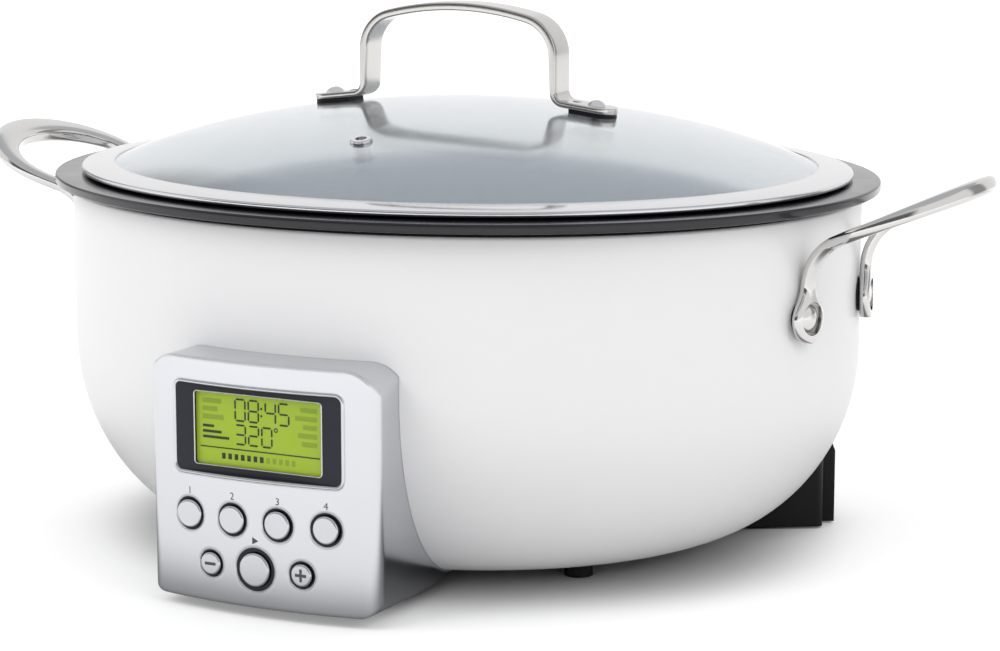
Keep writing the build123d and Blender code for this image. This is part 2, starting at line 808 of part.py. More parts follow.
def panel_plan(half_width, reach, curve_radius, back_half_width, back_reach, side_round):
    # Plan of the control housing: bowed front with soft ends, sides that draw in towards the back
    corner_y = -reach + curve_radius - math.sqrt(curve_radius**2 - half_width**2)
    with BuildSketch() as plan:
        with BuildLine() as outline:
            ThreePointArc((-half_width, corner_y), (0, -reach), (half_width, corner_y))
            Polyline(
                (half_width, corner_y),
                (back_half_width, -back_reach),
                (-back_half_width, -back_reach),
                (-half_width, corner_y),
            )
        make_face(outline.edges())
        fillet(plan.vertices().group_by(Axis.Y)[0], side_round)
    return plan.sketch


def panel_front(inset):
    # Front view of the control housing with its four rounded corners
    half_width = panel_half_width - inset
    with BuildSketch(front_plane) as view:
        with Locations((0, (panel_bottom_z + panel_top_z) / 2)):
            Rectangle(2 * half_width, panel_top_z - panel_bottom_z - 2 * inset)
        fillet(view.vertices().group_by(Axis.Y)[-1], panel_top_corner - inset)
        fillet(view.vertices().group_by(Axis.Y)[0], panel_bottom_corner - inset)
    return view.sketch


# Room inside the control housing, flat behind its front wall
room_plan = panel_plan(
    panel_half_width - panel_wall,
    panel_reach,
    panel_curve_radius,
    panel_back_half_width - panel_wall,
    panel_back_reach + panel_wall,
    panel_side_round - panel_wall,
)
with BuildPart() as housing_room:
    extrude(room_plan, amount=panel_top_z)
    extrude(panel_front(panel_wall), amount=-panel_inner_y, dir=(0, -1, 0), mode=Mode.INTERSECT)

# Control housing: bowed front, rounded corners, trimmed to the shell behind it
outer_plan = panel_plan(
    panel_half_width,
    panel_reach,
    panel_curve_radius,
    panel_back_half_width,
    panel_back_reach,
    panel_side_round,
)
with BuildPart() as control_housing:
    extrude(outer_plan, amount=panel_top_z)
    extrude(panel_front(0), amount=panel_reach + overrun, dir=(0, -1, 0), mode=Mode.INTERSECT)
    add(housing_room.part, mode=Mode.SUBTRACT)
    for x, y in housing_screw_places:
        with Locations((x, y, panel_bottom_z)):
            Cylinder(housing_boss_radius, overrun, align=(Align.CENTER, Align.CENTER, Align.MIN))
    add(shell_envelope.part, mode=Mode.SUBTRACT)
    for x, y in housing_screw_places:
        with Locations((x, y, panel_bottom_z)):
            Cylinder(small_head_radius + fit_gap, 2 * small_head_height, mode=Mode.SUBTRACT)
            Cylinder(small_screw_radius + fit_gap, 2 * overrun, mode=Mode.SUBTRACT)
    with BuildSketch(front_plane.offset(-control_board_front_y)):
        with Locations(*control_board_screw_places):
            Circle(board_boss_radius)
            Circle(small_screw_radius, mode=Mode.SUBTRACT)
    extrude(amount=tray_depth)
    with BuildSketch(front_plane.offset(-bezel_back_y)):
        with Locations((0, bezel_center_z)):
            RectangleRounded(bezel_width + 2 * fit_gap, bezel_height + 2 * fit_gap, bezel_corner)
    extrude(amount=overrun, mode=Mode.SUBTRACT)
    with BuildSketch(front_plane.offset(-panel_inner_y)):
        with Locations((0, bezel_center_z)):
            Rectangle(lcd_width + 2 * lcd_ledge, lcd_height + 2 * lcd_ledge)
        for name, x, z, cap_radius, ring in buttons:
            with Locations((x, z)):
                Circle(cap_radius + running_gap + ring)
    extrude(amount=overrun, mode=Mode.SUBTRACT)
save(control_housing.part, "control_housing")

housing_screw_top_z = shell_height(*housing_screw_places[0]) + shell_wall + screw_grip
housing_screw = pan_screw(housing_screw_top_z - panel_bottom_z - small_head_height)
with BuildPart() as housing_screws:
    for x, y in housing_screw_places:
        with Locations((x, y, panel_bottom_z)):
            add(housing_screw)
save(housing_screws.part, "housing_screws")

# Display: dark bezel, clear window, panel and backlight tray, one behind the other
with BuildPart() as display_bezel:
    with BuildSketch(front_plane.offset(-bezel_back_y)):
        with Locations((0, bezel_center_z)):
            RectangleRounded(bezel_width, bezel_height, bezel_corner)
            RectangleRounded(lcd_width, lcd_height, lcd_corner, mode=Mode.SUBTRACT)
    extrude(amount=bezel_thick)
save(display_bezel.part, "display_bezel")

with BuildPart() as display_window:
    with BuildSketch(front_plane.offset(-window_back_y)):
        with Locations((0, bezel_center_z)):
            RectangleRounded(lcd_width - 2 * fit_gap, lcd_height - 2 * fit_gap, lcd_corner)
    extrude(amount=window_thick)
save(display_window.part, "display_window")

with BuildPart() as lcd_panel:
    with BuildSketch(front_plane.offset(-panel_inner_y)):
        with Locations((0, bezel_center_z)):
            RectangleRounded(lcd_width - 2 * fit_gap, lcd_height - 2 * fit_gap, lcd_corner)
    extrude(amount=panel_inner_y - window_back_y)
save(lcd_panel.part, "lcd_panel")

with BuildPart() as backlight_tray:
    tray_width = lcd_width + 2 * tray_margin
    tray_height = lcd_height + 2 * tray_margin
    with BuildSketch(front_plane.offset(-control_board_front_y)):
        with Locations((0, bezel_center_z)):
            Rectangle(tray_width, tray_height)
    extrude(amount=tray_depth)
    with BuildSketch(front_plane.offset(-control_board_front_y)):
        with Locations((0, bezel_center_z)):
            Rectangle(tray_width - 2 * tray_wall, tray_height - 2 * tray_wall)
    extrude(amount=tray_depth - tray_wall, mode=Mode.SUBTRACT)
save(backlight_tray.part, "backlight_tray")

# Control board with its switches and screws
with BuildPart() as control_board:
    with BuildSketch(front_plane.offset(-control_board_back_y)):
        board_height = control_board_top_z - control_board_bottom_z
        with Locations((0, control_board_bottom_z + board_height / 2)):
            Rectangle(control_board_width, board_height)
        with Locations(*control_board_screw_places):
            Circle(small_screw_radius + fit_gap, mode=Mode.SUBTRACT)
    extrude(amount=board_thick)
save(control_board.part, "control_board")

with BuildPart() as tact_switches:
    switch_places = [(x, z) for name, x, z, cap_radius, ring in buttons]
    with BuildSketch(front_plane.offset(-control_board_front_y)):
        with Locations(*switch_places):
            Rectangle(switch_size, switch_size)
    extrude(amount=switch_height)
    plunger_height = control_board_front_y - button_back_y - button_travel - fit_gap
    with BuildSketch(front_plane.offset(-control_board_front_y)):
        with Locations(*switch_places):
            Circle(switch_plunger_radius)
    extrude(amount=plunger_height)
save(tact_switches.part, "tact_switches")

board_screw = pan_screw(board_thick + screw_grip - small_head_height / 2)
with BuildPart() as control_board_screws:
    for x, z in control_board_screw_places:
        head_plane = Plane(
            origin=(x, control_board_back_y + small_head_height, z),
            x_dir=(1, 0, 0),
            z_dir=(0, -1, 0),
        )
        with Locations(head_plane):
            add(board_screw)
save(control_board_screws.part, "control_board_screws")

# Bushings: dark rings around the buttons, just below the bowed face
bushing_plan = panel_plan(
    panel_half_width,
    panel_reach - bushing_recess,
    panel_curve_radius - bushing_recess,
    panel_back_half_width,
    panel_back_reach,
    panel_side_round,
)
for group in ("button_bushings", "start_ring"):
    with BuildPart() as bushings:
        with BuildSketch(front_plane.offset(-panel_inner_y)):
            for name, x, z, cap_radius, ring in buttons:
                if (name == "start_button") == (group == "start_ring"):
                    with Locations((x, z)):
                        Circle(cap_radius + running_gap + ring)
                        Circle(cap_radius + running_gap, mode=Mode.SUBTRACT)
        extrude(amount=overrun)
        extrude(bushing_plan, amount=panel_top_z, mode=Mode.INTERSECT)
    save(bushings.part, group)

# Buttons: capped plungers held by a flange behind the front wall
for name, x, z, cap_radius, ring in buttons:
    face_y = panel_center_y - math.sqrt(panel_curve_radius**2 - x**2)
    with BuildPart() as button:
        with BuildSketch(front_plane.offset(-button_back_y)):
            with Locations((x, z)):
                Circle(cap_radius + button_flange)
        extrude(amount=button_flange_thick)
        with BuildSketch(front_plane.offset(-button_back_y)):
            with Locations((x, z)):
                Circle(cap_radius)
        extrude(amount=button_back_y - face_y + button_proud)
        fillet(button.faces().sort_by(Axis.Y)[0].edges(), button_round)
        if name in ("minus_button", "plus_button"):
            mark_length = mark_length_share * cap_radius
            with BuildSketch(front_plane.offset(button_proud - face_y)):
                with Locations((x, z)):
                    Rectangle(mark_length, mark_width)
                    if name == "plus_button":
                        Rectangle(mark_width, mark_length)
            extrude(amount=-mark_depth, mode=Mode.SUBTRACT)
    save(button.part, name)

# Ribbon cable: flat lead from the control board through the shell's slot to the power board
with BuildPart() as ribbon_cable:
    ribbon_end_y = power_board_y - power_board_length / 2 + board_post_inset
    with BuildSketch(Plane.YZ.offset(ribbon_x)):
        with BuildLine():
            FilletPolyline(
                (control_board_back_y, ribbon_z),
                (ribbon_knee_y, ribbon_z),
                (ribbon_end_y - board_post_inset, power_board_top_z + ribbon_thick / 2),
                (ribbon_end_y, power_board_top_z + ribbon_thick / 2),
                radius=ribbon_bend_radius,
            )
        trace(line_width=ribbon_thick)
    extrude(amount=ribbon_width / 2, both=True)
save(ribbon_cable.part, "ribbon_cable")

# Power board on its posts, with a relay, a capacitor and the heater's terminal block
with BuildPart() as board_posts:
    for x, y in board_post_places:
        with Locations((x, y, shell_floor_z)):
            Cylinder(
                board_post_radius,
                power_board_post_height,
                align=(Align.CENTER, Align.CENTER, Align.MIN),
            )
save(board_posts.part, "board_posts")

with BuildPart() as power_board:
    with BuildSketch(Plane.XY.offset(power_board_z)):
        with Locations((0, power_board_y)):
            Rectangle(power_board_width, power_board_length)
    extrude(amount=board_thick)
save(power_board.part, "power_board")

with BuildPart() as power_relay:
    with BuildSketch(Plane.XY.offset(power_board_top_z)):
        with Locations((relay_x, relay_y)):
            Rectangle(relay_width, relay_length)
    extrude(amount=relay_height)
    chamfer(power_relay.edges().group_by(Axis.Z)[-1], board_thick / 2)
save(power_relay.part, "power_relay")

with BuildPart() as filter_capacitor:
    with BuildSketch(Plane.XY.offset(power_board_top_z)):
        with Locations((capacitor_x, capacitor_y)):
            Circle(capacitor_radius)
    extrude(amount=capacitor_height)
    fillet(filter_capacitor.edges().group_by(Axis.Z)[-1], board_thick / 2)
save(filter_capacitor.part, "filter_capacitor")

lead_bottom_z = power_board_top_z + terminal_block_height / 2
with BuildPart() as terminal_block:
    with BuildSketch(Plane.XY.offset(power_board_top_z)):
        with Locations((0, terminal_y)):
            Rectangle(terminal_block_width, terminal_block_length)
    extrude(amount=terminal_block_height)
    for x, y in lead_places:
        with Locations((x, y, lead_bottom_z)):
            Cylinder(
                lead_radius,
                terminal_block_height,
                align=(Align.CENTER, Align.CENTER, Align.MIN),
                mode=Mode.SUBTRACT,
            )
save(terminal_block.part, "terminal_block")

with BuildPart() as heater_leads:
    lead_length = heater_bottom_z - terminal_height - lead_bottom_z
    for x, y in lead_places:
        with Locations((x, y, lead_bottom_z)):
            Cylinder(lead_radius, lead_length, align=(Align.CENTER, Align.CENTER, Align.MIN))
save(heater_leads.part, "heater_leads")

# Side handles: an inclined loop, wide at its tip, on two legs that end in round bosses
turn_angle = 90 - handle_incline
incline = math.radians(handle_incline)
leg_center = handle_pad_thick + handle_leg_thick / 2
bend_z = handle_z + handle_leg_rise
bend_run = handle_bend_radius * (1 - math.sin(incline))
bend_rise = handle_bend_radius * math.cos(incline)
with BuildPart() as side_handle_right:
    near_plane = shell_side_plane(1, handle_y)
    loop_end = near_plane.origin + near_plane.z_dir * (leg_center + bend_run)
    loop_plane = Plane(
        origin=(loop_end.X, 0, bend_z + bend_rise),
        x_dir=(math.cos(incline), 0, math.sin(incline)),
        z_dir=(-math.sin(incline), 0, math.cos(incline)),
    )
    outer_reach = handle_loop_reach - handle_loop_center
    middle_reach = outer_reach - handle_tip_width / 2
    loop_half_width = loop_end.Y / math.sqrt(1 - (handle_loop_center / middle_reach) ** 2)
    with BuildSketch(loop_plane):
        with Locations((handle_loop_center, 0)):
            Ellipse(outer_reach, loop_half_width + handle_leg_width / 2)
            inner_reach = outer_reach - handle_tip_width
            Ellipse(inner_reach, loop_half_width - handle_leg_width / 2, mode=Mode.SUBTRACT)
        Rectangle(handle_loop_reach, 4 * loop_half_width, align=(Align.MAX, Align.CENTER), mode=Mode.SUBTRACT)
    extrude(amount=handle_leg_thick / 2, both=True)
    loop_edges = side_handle_right.edges().filter_by(GeomType.ELLIPSE)
    fillet(loop_edges, handle_edge_round)
    for y in (-handle_y, handle_y):
        wall_plane = shell_side_plane(1, y)
        boss_plane = Plane(wall_plane.offset(handle_pad_thick).location * Pos(0, handle_z, 0))
        bend_axis = Axis(
            wall_plane.origin + wall_plane.z_dir * (leg_center + handle_bend_radius) + Vector(0, 0, bend_z),
            wall_plane.x_dir,
        )
        leg_top = Plane(
            origin=wall_plane.origin + wall_plane.z_dir * leg_center + Vector(0, 0, bend_z),
            x_dir=wall_plane.x_dir,
            z_dir=(0, 0, 1),
        )
        with BuildSketch(leg_top):
            Rectangle(handle_leg_width, handle_leg_thick)
        revolve(axis=bend_axis, revolution_arc=turn_angle + handle_bend_overlap)
        with BuildSketch(boss_plane):
            Rectangle(handle_leg_width, handle_leg_rise, align=(Align.CENTER, Align.MIN))
        extrude(amount=handle_leg_thick)
        with BuildSketch(boss_plane):
            Circle(handle_boss_radius)
        extrude(amount=handle_boss_height, taper=handle_boss_taper)
        with Locations(boss_plane.offset(handle_boss_height)):
            Cylinder(handle_recess_radius, 2 * handle_recess_depth, mode=Mode.SUBTRACT)
            Cylinder(handle_screw_radius + fit_gap, 2 * overrun, mode=Mode.SUBTRACT)
save(side_handle_right.part, "side_handle_right")

with BuildPart() as side_handle_left:
    mirror(side_handle_right.part, about=Plane.YZ)
save(side_handle_left.part, "side_handle_left")

with BuildPart() as handle_pads:
    for plane in handle_planes:
        with Locations(plane.location * Pos(0, handle_z, handle_pad_thick)):
            pad_radius = handle_boss_radius - handle_pad_inset
            Cylinder(pad_radius, 2 * handle_pad_thick, align=(Align.CENTER, Align.CENTER, Align.MAX))
            Cylinder(handle_screw_radius + fit_gap, overrun, mode=Mode.SUBTRACT)
    add(shell_envelope.part, mode=Mode.SUBTRACT)
save(handle_pads.part, "handle_pads")

nut_seat = shell_wall + fit_gap
recess_floor = handle_pad_thick + handle_boss_height - handle_recess_depth
side_screw = screw(
    handle_screw_head_radius,
    handle_screw_head_height,
    handle_screw_radius,
    recess_floor + nut_seat + handle_nut_thick,
)
with BuildPart() as handle_screws:
    for plane in handle_planes:
        with Locations(plane.location * Pos(0, handle_z, recess_floor)):
            add(side_screw)
    for plane in handle_planes:
        socket_plane = plane.offset(recess_floor + handle_screw_head_height) * Pos(0, handle_z, 0)
        with BuildSketch(socket_plane):
            RegularPolygon(handle_socket_radius, 6)
        extrude(amount=-handle_socket_depth, mode=Mode.SUBTRACT)
save(handle_screws.part, "handle_screws")

with BuildPart() as handle_nuts:
    for plane in handle_planes:
        with Locations(plane.location * Pos(0, handle_z, -nut_seat)):
            Cylinder(handle_nut_radius, handle_nut_thick, align=(Align.CENTER, Align.CENTER, Align.MAX))
            Cylinder(handle_screw_radius, overrun, mode=Mode.SUBTRACT)
save(handle_nuts.part, "handle_nuts")

# Lid: where its fasteners stand on the dome
lid_planes = {side: dome_plane(side * strap_screw_x, 0) for side in (-1, 1)}
vent_plane = dome_plane(vent_x, vent_y)

with BuildPart() as lid_glass:
    with BuildSketch(Plane.XZ):
        glass_section()
    revolve(axis=Axis.Z)
    scale(by=(1, plan_share, 1))
    with Locations(*lid_planes.values()):
        Cylinder(lid_screw_radius + fit_gap, overrun, mode=Mode.SUBTRACT)
    with Locations(vent_plane):
        Cylinder(vent_tube_radius + fit_gap, overrun, mode=Mode.SUBTRACT)
save(lid_glass.part, "lid_glass")

# Room taken by the glass and what is under it, which the pads on it are trimmed to
with BuildPart() as dome_envelope:
    with BuildSketch(Plane.XZ):
        with BuildLine():
            outer_face = dome_arc(rim_inner_radius, 0)
            Polyline(outer_face @ 1, (0, dome_foot_z), outer_face @ 0)
        make_face()
    revolve(axis=Axis.Z)
    scale(by=(1, plan_share, 1))

# Lid rim: steel band folded over the glass's edge, with a seat and a skirt inside the pot
with BuildPart() as lid_rim:
    with BuildSketch(Plane.XZ) as rim_profile:
        rim_edge_z = rim_seat_z + rim_edge_lift
        with BuildLine() as rim_outline:
            Polyline(
                (rim_inner_radius, dome_foot_z + rim_lip_thick),
                (rim_radius, rim_top_z),
                (rim_radius, rim_edge_z),
                (rim_radius - rim_overhang, rim_seat_z),
                (rim_skirt_radius, rim_seat_z),
                (rim_skirt_radius, rim_seat_z - rim_skirt_depth),
                (rim_inner_radius, rim_seat_z - rim_skirt_depth),
                close=True,
            )
        make_face()
        fillet(rim_profile.vertices().group_by(Axis.X)[-1], rim_edge_round)
        glass_section(mode=Mode.SUBTRACT)
    revolve(axis=Axis.Z)
    scale(by=(1, plan_share, 1))
save(lid_rim.part, "lid_rim")

# Lid handle: bent strap with a shallow arch and two splayed feet
foot_fall = lid_planes[1].z_dir.X / lid_planes[1].z_dir.Z
foot_line_z = lid_planes[1].origin.Z + (lid_pad_thick + strap_thick / 2) / lid_planes[1].z_dir.Z
arch = math.radians(strap_arch_angle)
arch_run = strap_leg_x - strap_corner_radius * (1 - math.sin(arch))
arch_radius = arch_run / math.sin(arch)
strap_middle_z = strap_top_z - strap_thick / 2
arch_rise = strap_corner_radius * math.cos(arch) + arch_radius * (1 - math.cos(arch))
strap_leg_top_z = strap_middle_z - arch_rise
with BuildPart() as lid_handle:
    with BuildSketch(Plane.XZ):
        with BuildLine():
            foot_end = (strap_end_x, foot_line_z - (strap_end_x - strap_screw_x) * foot_fall)
            knee = (strap_leg_x, foot_line_z + (strap_screw_x - strap_leg_x) * foot_fall)
            FilletPolyline(foot_end, knee, (strap_leg_x, strap_leg_top_z), radius=strap_knee_radius)
            corner_turn = quarter_turn - strap_arch_angle
            corner = JernArc((strap_leg_x, strap_leg_top_z), (0, 1), strap_corner_radius, corner_turn)
            JernArc(corner @ 1, corner % 1, arch_radius, strap_arch_angle)
            mirror(about=Plane.YZ)
        trace(line_width=strap_thick)
    extrude(amount=strap_width / 2, both=True)
    with BuildSketch(Plane.XY.offset(dome_foot_z)):
        SlotOverall(2 * strap_end_x, strap_width)
    extrude(amount=strap_top_z, mode=Mode.INTERSECT)
    for plane in lid_planes.values():
        with Locations(plane):
            Cylinder(lid_screw_radius + fit_gap, overrun, mode=Mode.SUBTRACT)
save(lid_handle.part, "lid_handle")

# Pads between the strap's feet and the glass
with BuildPart() as lid_handle_pads:
    for side, plane in lid_planes.items():
        with BuildSketch(Plane.XY.offset(dome_foot_z)):
            SlotOverall(2 * (strap_end_x - lid_pad_inset), strap_width - 2 * lid_pad_inset)
            with Locations((side * (strap_end_x - lid_pad_inset), 0)):
                edge_align = Align.MAX if side > 0 else Align.MIN
                Rectangle(lid_pad_length, strap_width, align=(edge_align, Align.CENTER), mode=Mode.INTERSECT)
        extrude(amount=dome_rise)
    for plane in lid_planes.values():
        split(bisect_by=plane.offset(lid_pad_thick), keep=Keep.BOTTOM)
    add(dome_envelope.part, mode=Mode.SUBTRACT)
    for plane in lid_planes.values():
        with Locations(plane):
            Cylinder(lid_screw_radius + fit_gap, overrun, mode=Mode.SUBTRACT)
save(lid_handle_pads.part, "lid_handle_pads")

strap_top = lid_pad_thick + strap_thick
lid_screw = screw(
    lid_screw_head_radius,
    lid_screw_head_height,
    lid_screw_radius,
    strap_top + glass_thick + lid_nut_thick,
)
with BuildPart() as lid_handle_screws:
    for plane in lid_planes.values():
        with Locations(plane.offset(strap_top)):
            add(lid_screw)
save(lid_handle_screws.part, "lid_handle_screws")

with BuildPart() as lid_handle_nuts:
    for plane in lid_planes.values():
        with Locations(plane.offset(-glass_thick - fit_gap)):
            Cylinder(lid_nut_radius, lid_nut_thick, align=(Align.CENTER, Align.CENTER, Align.MAX))
            Cylinder(lid_screw_radius, overrun, mode=Mode.SUBTRACT)
save(lid_handle_nuts.part, "lid_handle_nuts")

# Steam vent: flanged eyelet through the glass, with a washer under it
with BuildPart() as steam_vent:
    with Locations(vent_plane.offset(fit_gap)):
        Cylinder(vent_flange_radius, vent_flange_thick, align=(Align.CENTER, Align.CENTER, Align.MIN))
    fillet(steam_vent.edges().group_by(Axis.Z)[-1], vent_flange_thick / 2)
    with Locations(vent_plane.offset(fit_gap)):
        tube_length = glass_thick + vent_washer_thick + 2 * fit_gap
        Cylinder(vent_tube_radius, tube_length, align=(Align.CENTER, Align.CENTER, Align.MAX))
        Cylinder(vent_hole_radius, 2 * overrun, mode=Mode.SUBTRACT)
save(steam_vent.part, "steam_vent")

with BuildPart() as vent_washer:
    with Locations(vent_plane.offset(-glass_thick - fit_gap)):
        Cylinder(vent_flange_radius, vent_washer_thick, align=(Align.CENTER, Align.CENTER, Align.MAX))
        Cylinder(vent_tube_radius, overrun, mode=Mode.SUBTRACT)
save(vent_washer.part, "vent_washer")
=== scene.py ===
import math
import bpy
import bmesh
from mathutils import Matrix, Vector


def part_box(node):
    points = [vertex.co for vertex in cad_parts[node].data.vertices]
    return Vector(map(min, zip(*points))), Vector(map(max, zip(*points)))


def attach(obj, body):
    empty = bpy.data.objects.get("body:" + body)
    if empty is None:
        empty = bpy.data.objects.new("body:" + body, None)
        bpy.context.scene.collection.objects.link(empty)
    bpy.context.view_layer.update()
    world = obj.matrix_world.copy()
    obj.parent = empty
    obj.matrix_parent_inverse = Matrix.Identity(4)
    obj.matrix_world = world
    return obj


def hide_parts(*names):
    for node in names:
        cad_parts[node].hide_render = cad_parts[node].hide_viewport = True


# Electric skillet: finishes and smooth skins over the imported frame.
# The pieces' own sizes are in mm. The frame, the finishes and the stage are in metres.
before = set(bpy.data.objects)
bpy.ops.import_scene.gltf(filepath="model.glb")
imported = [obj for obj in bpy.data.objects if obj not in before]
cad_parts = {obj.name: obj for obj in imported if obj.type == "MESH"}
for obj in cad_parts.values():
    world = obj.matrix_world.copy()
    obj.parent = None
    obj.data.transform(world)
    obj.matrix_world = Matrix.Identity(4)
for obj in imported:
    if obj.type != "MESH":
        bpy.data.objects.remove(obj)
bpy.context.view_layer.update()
mm = 0.001
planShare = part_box("outer_shell")[1][1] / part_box("outer_shell")[1][0]  # the oval's width against its length
print("frame loaded:", len(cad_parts), "nodes")


def boxMm(node):
    # a node's lowest and highest corners in mm
    return [[value / mm for value in corner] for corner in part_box(node)]


# Shader wiring
class Wire:
    def __init__(self, tree, socket):
        self.tree, self.socket = tree, socket

    def node(self, kind, settings, inputs, out=0):
        made = self.tree.nodes.new(kind)
        for key, value in settings.items():
            setattr(made, key, value)
        for key, value in inputs.items():
            if isinstance(value, Wire):
                self.tree.links.new(value.socket, made.inputs[key])
            else:
                made.inputs[key].default_value = value
        return Wire(self.tree, made.outputs[out])

    def maths(self, operation, first, second):
        return self.node("ShaderNodeMath", {"operation": operation}, {0: first, 1: second})

    def __add__(self, other):
        return self.maths("ADD", self, other)

    def __radd__(self, other):
        return self.maths("ADD", other, self)

    def __sub__(self, other):
        return self.maths("SUBTRACT", self, other)

    def __rsub__(self, other):
        return self.maths("SUBTRACT", other, self)

    def __mul__(self, other):
        return self.maths("MULTIPLY", self, other)

    def __rmul__(self, other):
        return self.maths("MULTIPLY", other, self)

    def __truediv__(self, other):
        return self.maths("DIVIDE", self, other)

    def __pow__(self, other):
        return self.maths("POWER", self, other)

    def noise(self, scale, detail):
        return self.node("ShaderNodeTexNoise", {}, {"Vector": self, "Scale": scale, "Detail": detail}, "Fac")

    def stretch(self, x, y, z):
        return self.node("ShaderNodeVectorMath", {"operation": "MULTIPLY"}, {0: self, 1: (x, y, z)})

    def between(self, low, high):  # 0 below low, 1 above high, eased between
        settings = {"interpolation_type": "SMOOTHSTEP"}
        return self.node("ShaderNodeMapRange", settings, {"Value": self, "From Min": low, "From Max": high})

    def tint(self, dark, light):  # sockets 6 and 7 are the Mix node's two colours, output 2 is its result
        inputs = {"Factor": self, 6: (*dark, 1), 7: (*light, 1)}
        return self.node("ShaderNodeMix", {"data_type": "RGBA"}, inputs, 2)

    def bump(self, strength, depth, edge):
        inputs = {"Strength": strength, "Distance": depth, "Height": self}
        if edge:  # softens the crisp CAD edges by this radius
            inputs["Normal"] = self.node("ShaderNodeBevel", {"samples": 4}, {"Radius": edge})
        return self.node("ShaderNodeBump", {}, inputs, "Normal")


def makeFinish(name, fixed, varying):
    # fixed holds plain socket values, varying takes the object's coordinates and returns the linked sockets
    material = bpy.data.materials.new(name)
    material.use_nodes = True
    tree = material.node_tree
    shader = tree.nodes["Principled BSDF"]
    for socket, value in fixed.items():
        shader.inputs[socket].default_value = value
    place = Wire(tree, tree.nodes.new("ShaderNodeTexCoord").outputs["Object"])
    for socket, value in varying(place).items():
        tree.links.new(value.socket, shader.inputs[socket])
    return material


grainNoise = {"driftDetail": 3.0, "driftMiddle": 0.5, "fineDetail": 2.0, "bumpStrength": 0.5}


def grain(dark, light, scale, rough, roughSpread, bumpScale, bumpDepth, stretch=(1, 1, 1), edge=0):
    # the usual finish: a little colour drift, uneven gloss, and a fine surface texture
    def varying(place):
        drift = place.stretch(*stretch).noise(scale, grainNoise["driftDetail"])
        fine = place.stretch(*stretch).noise(bumpScale, grainNoise["fineDetail"])
        gloss = rough + roughSpread * (drift - grainNoise["driftMiddle"])
        normal = fine.bump(grainNoise["bumpStrength"], bumpDepth, edge)
        return {"Base Color": drift.tint(dark, light), "Roughness": gloss, "Normal": normal}
    return varying


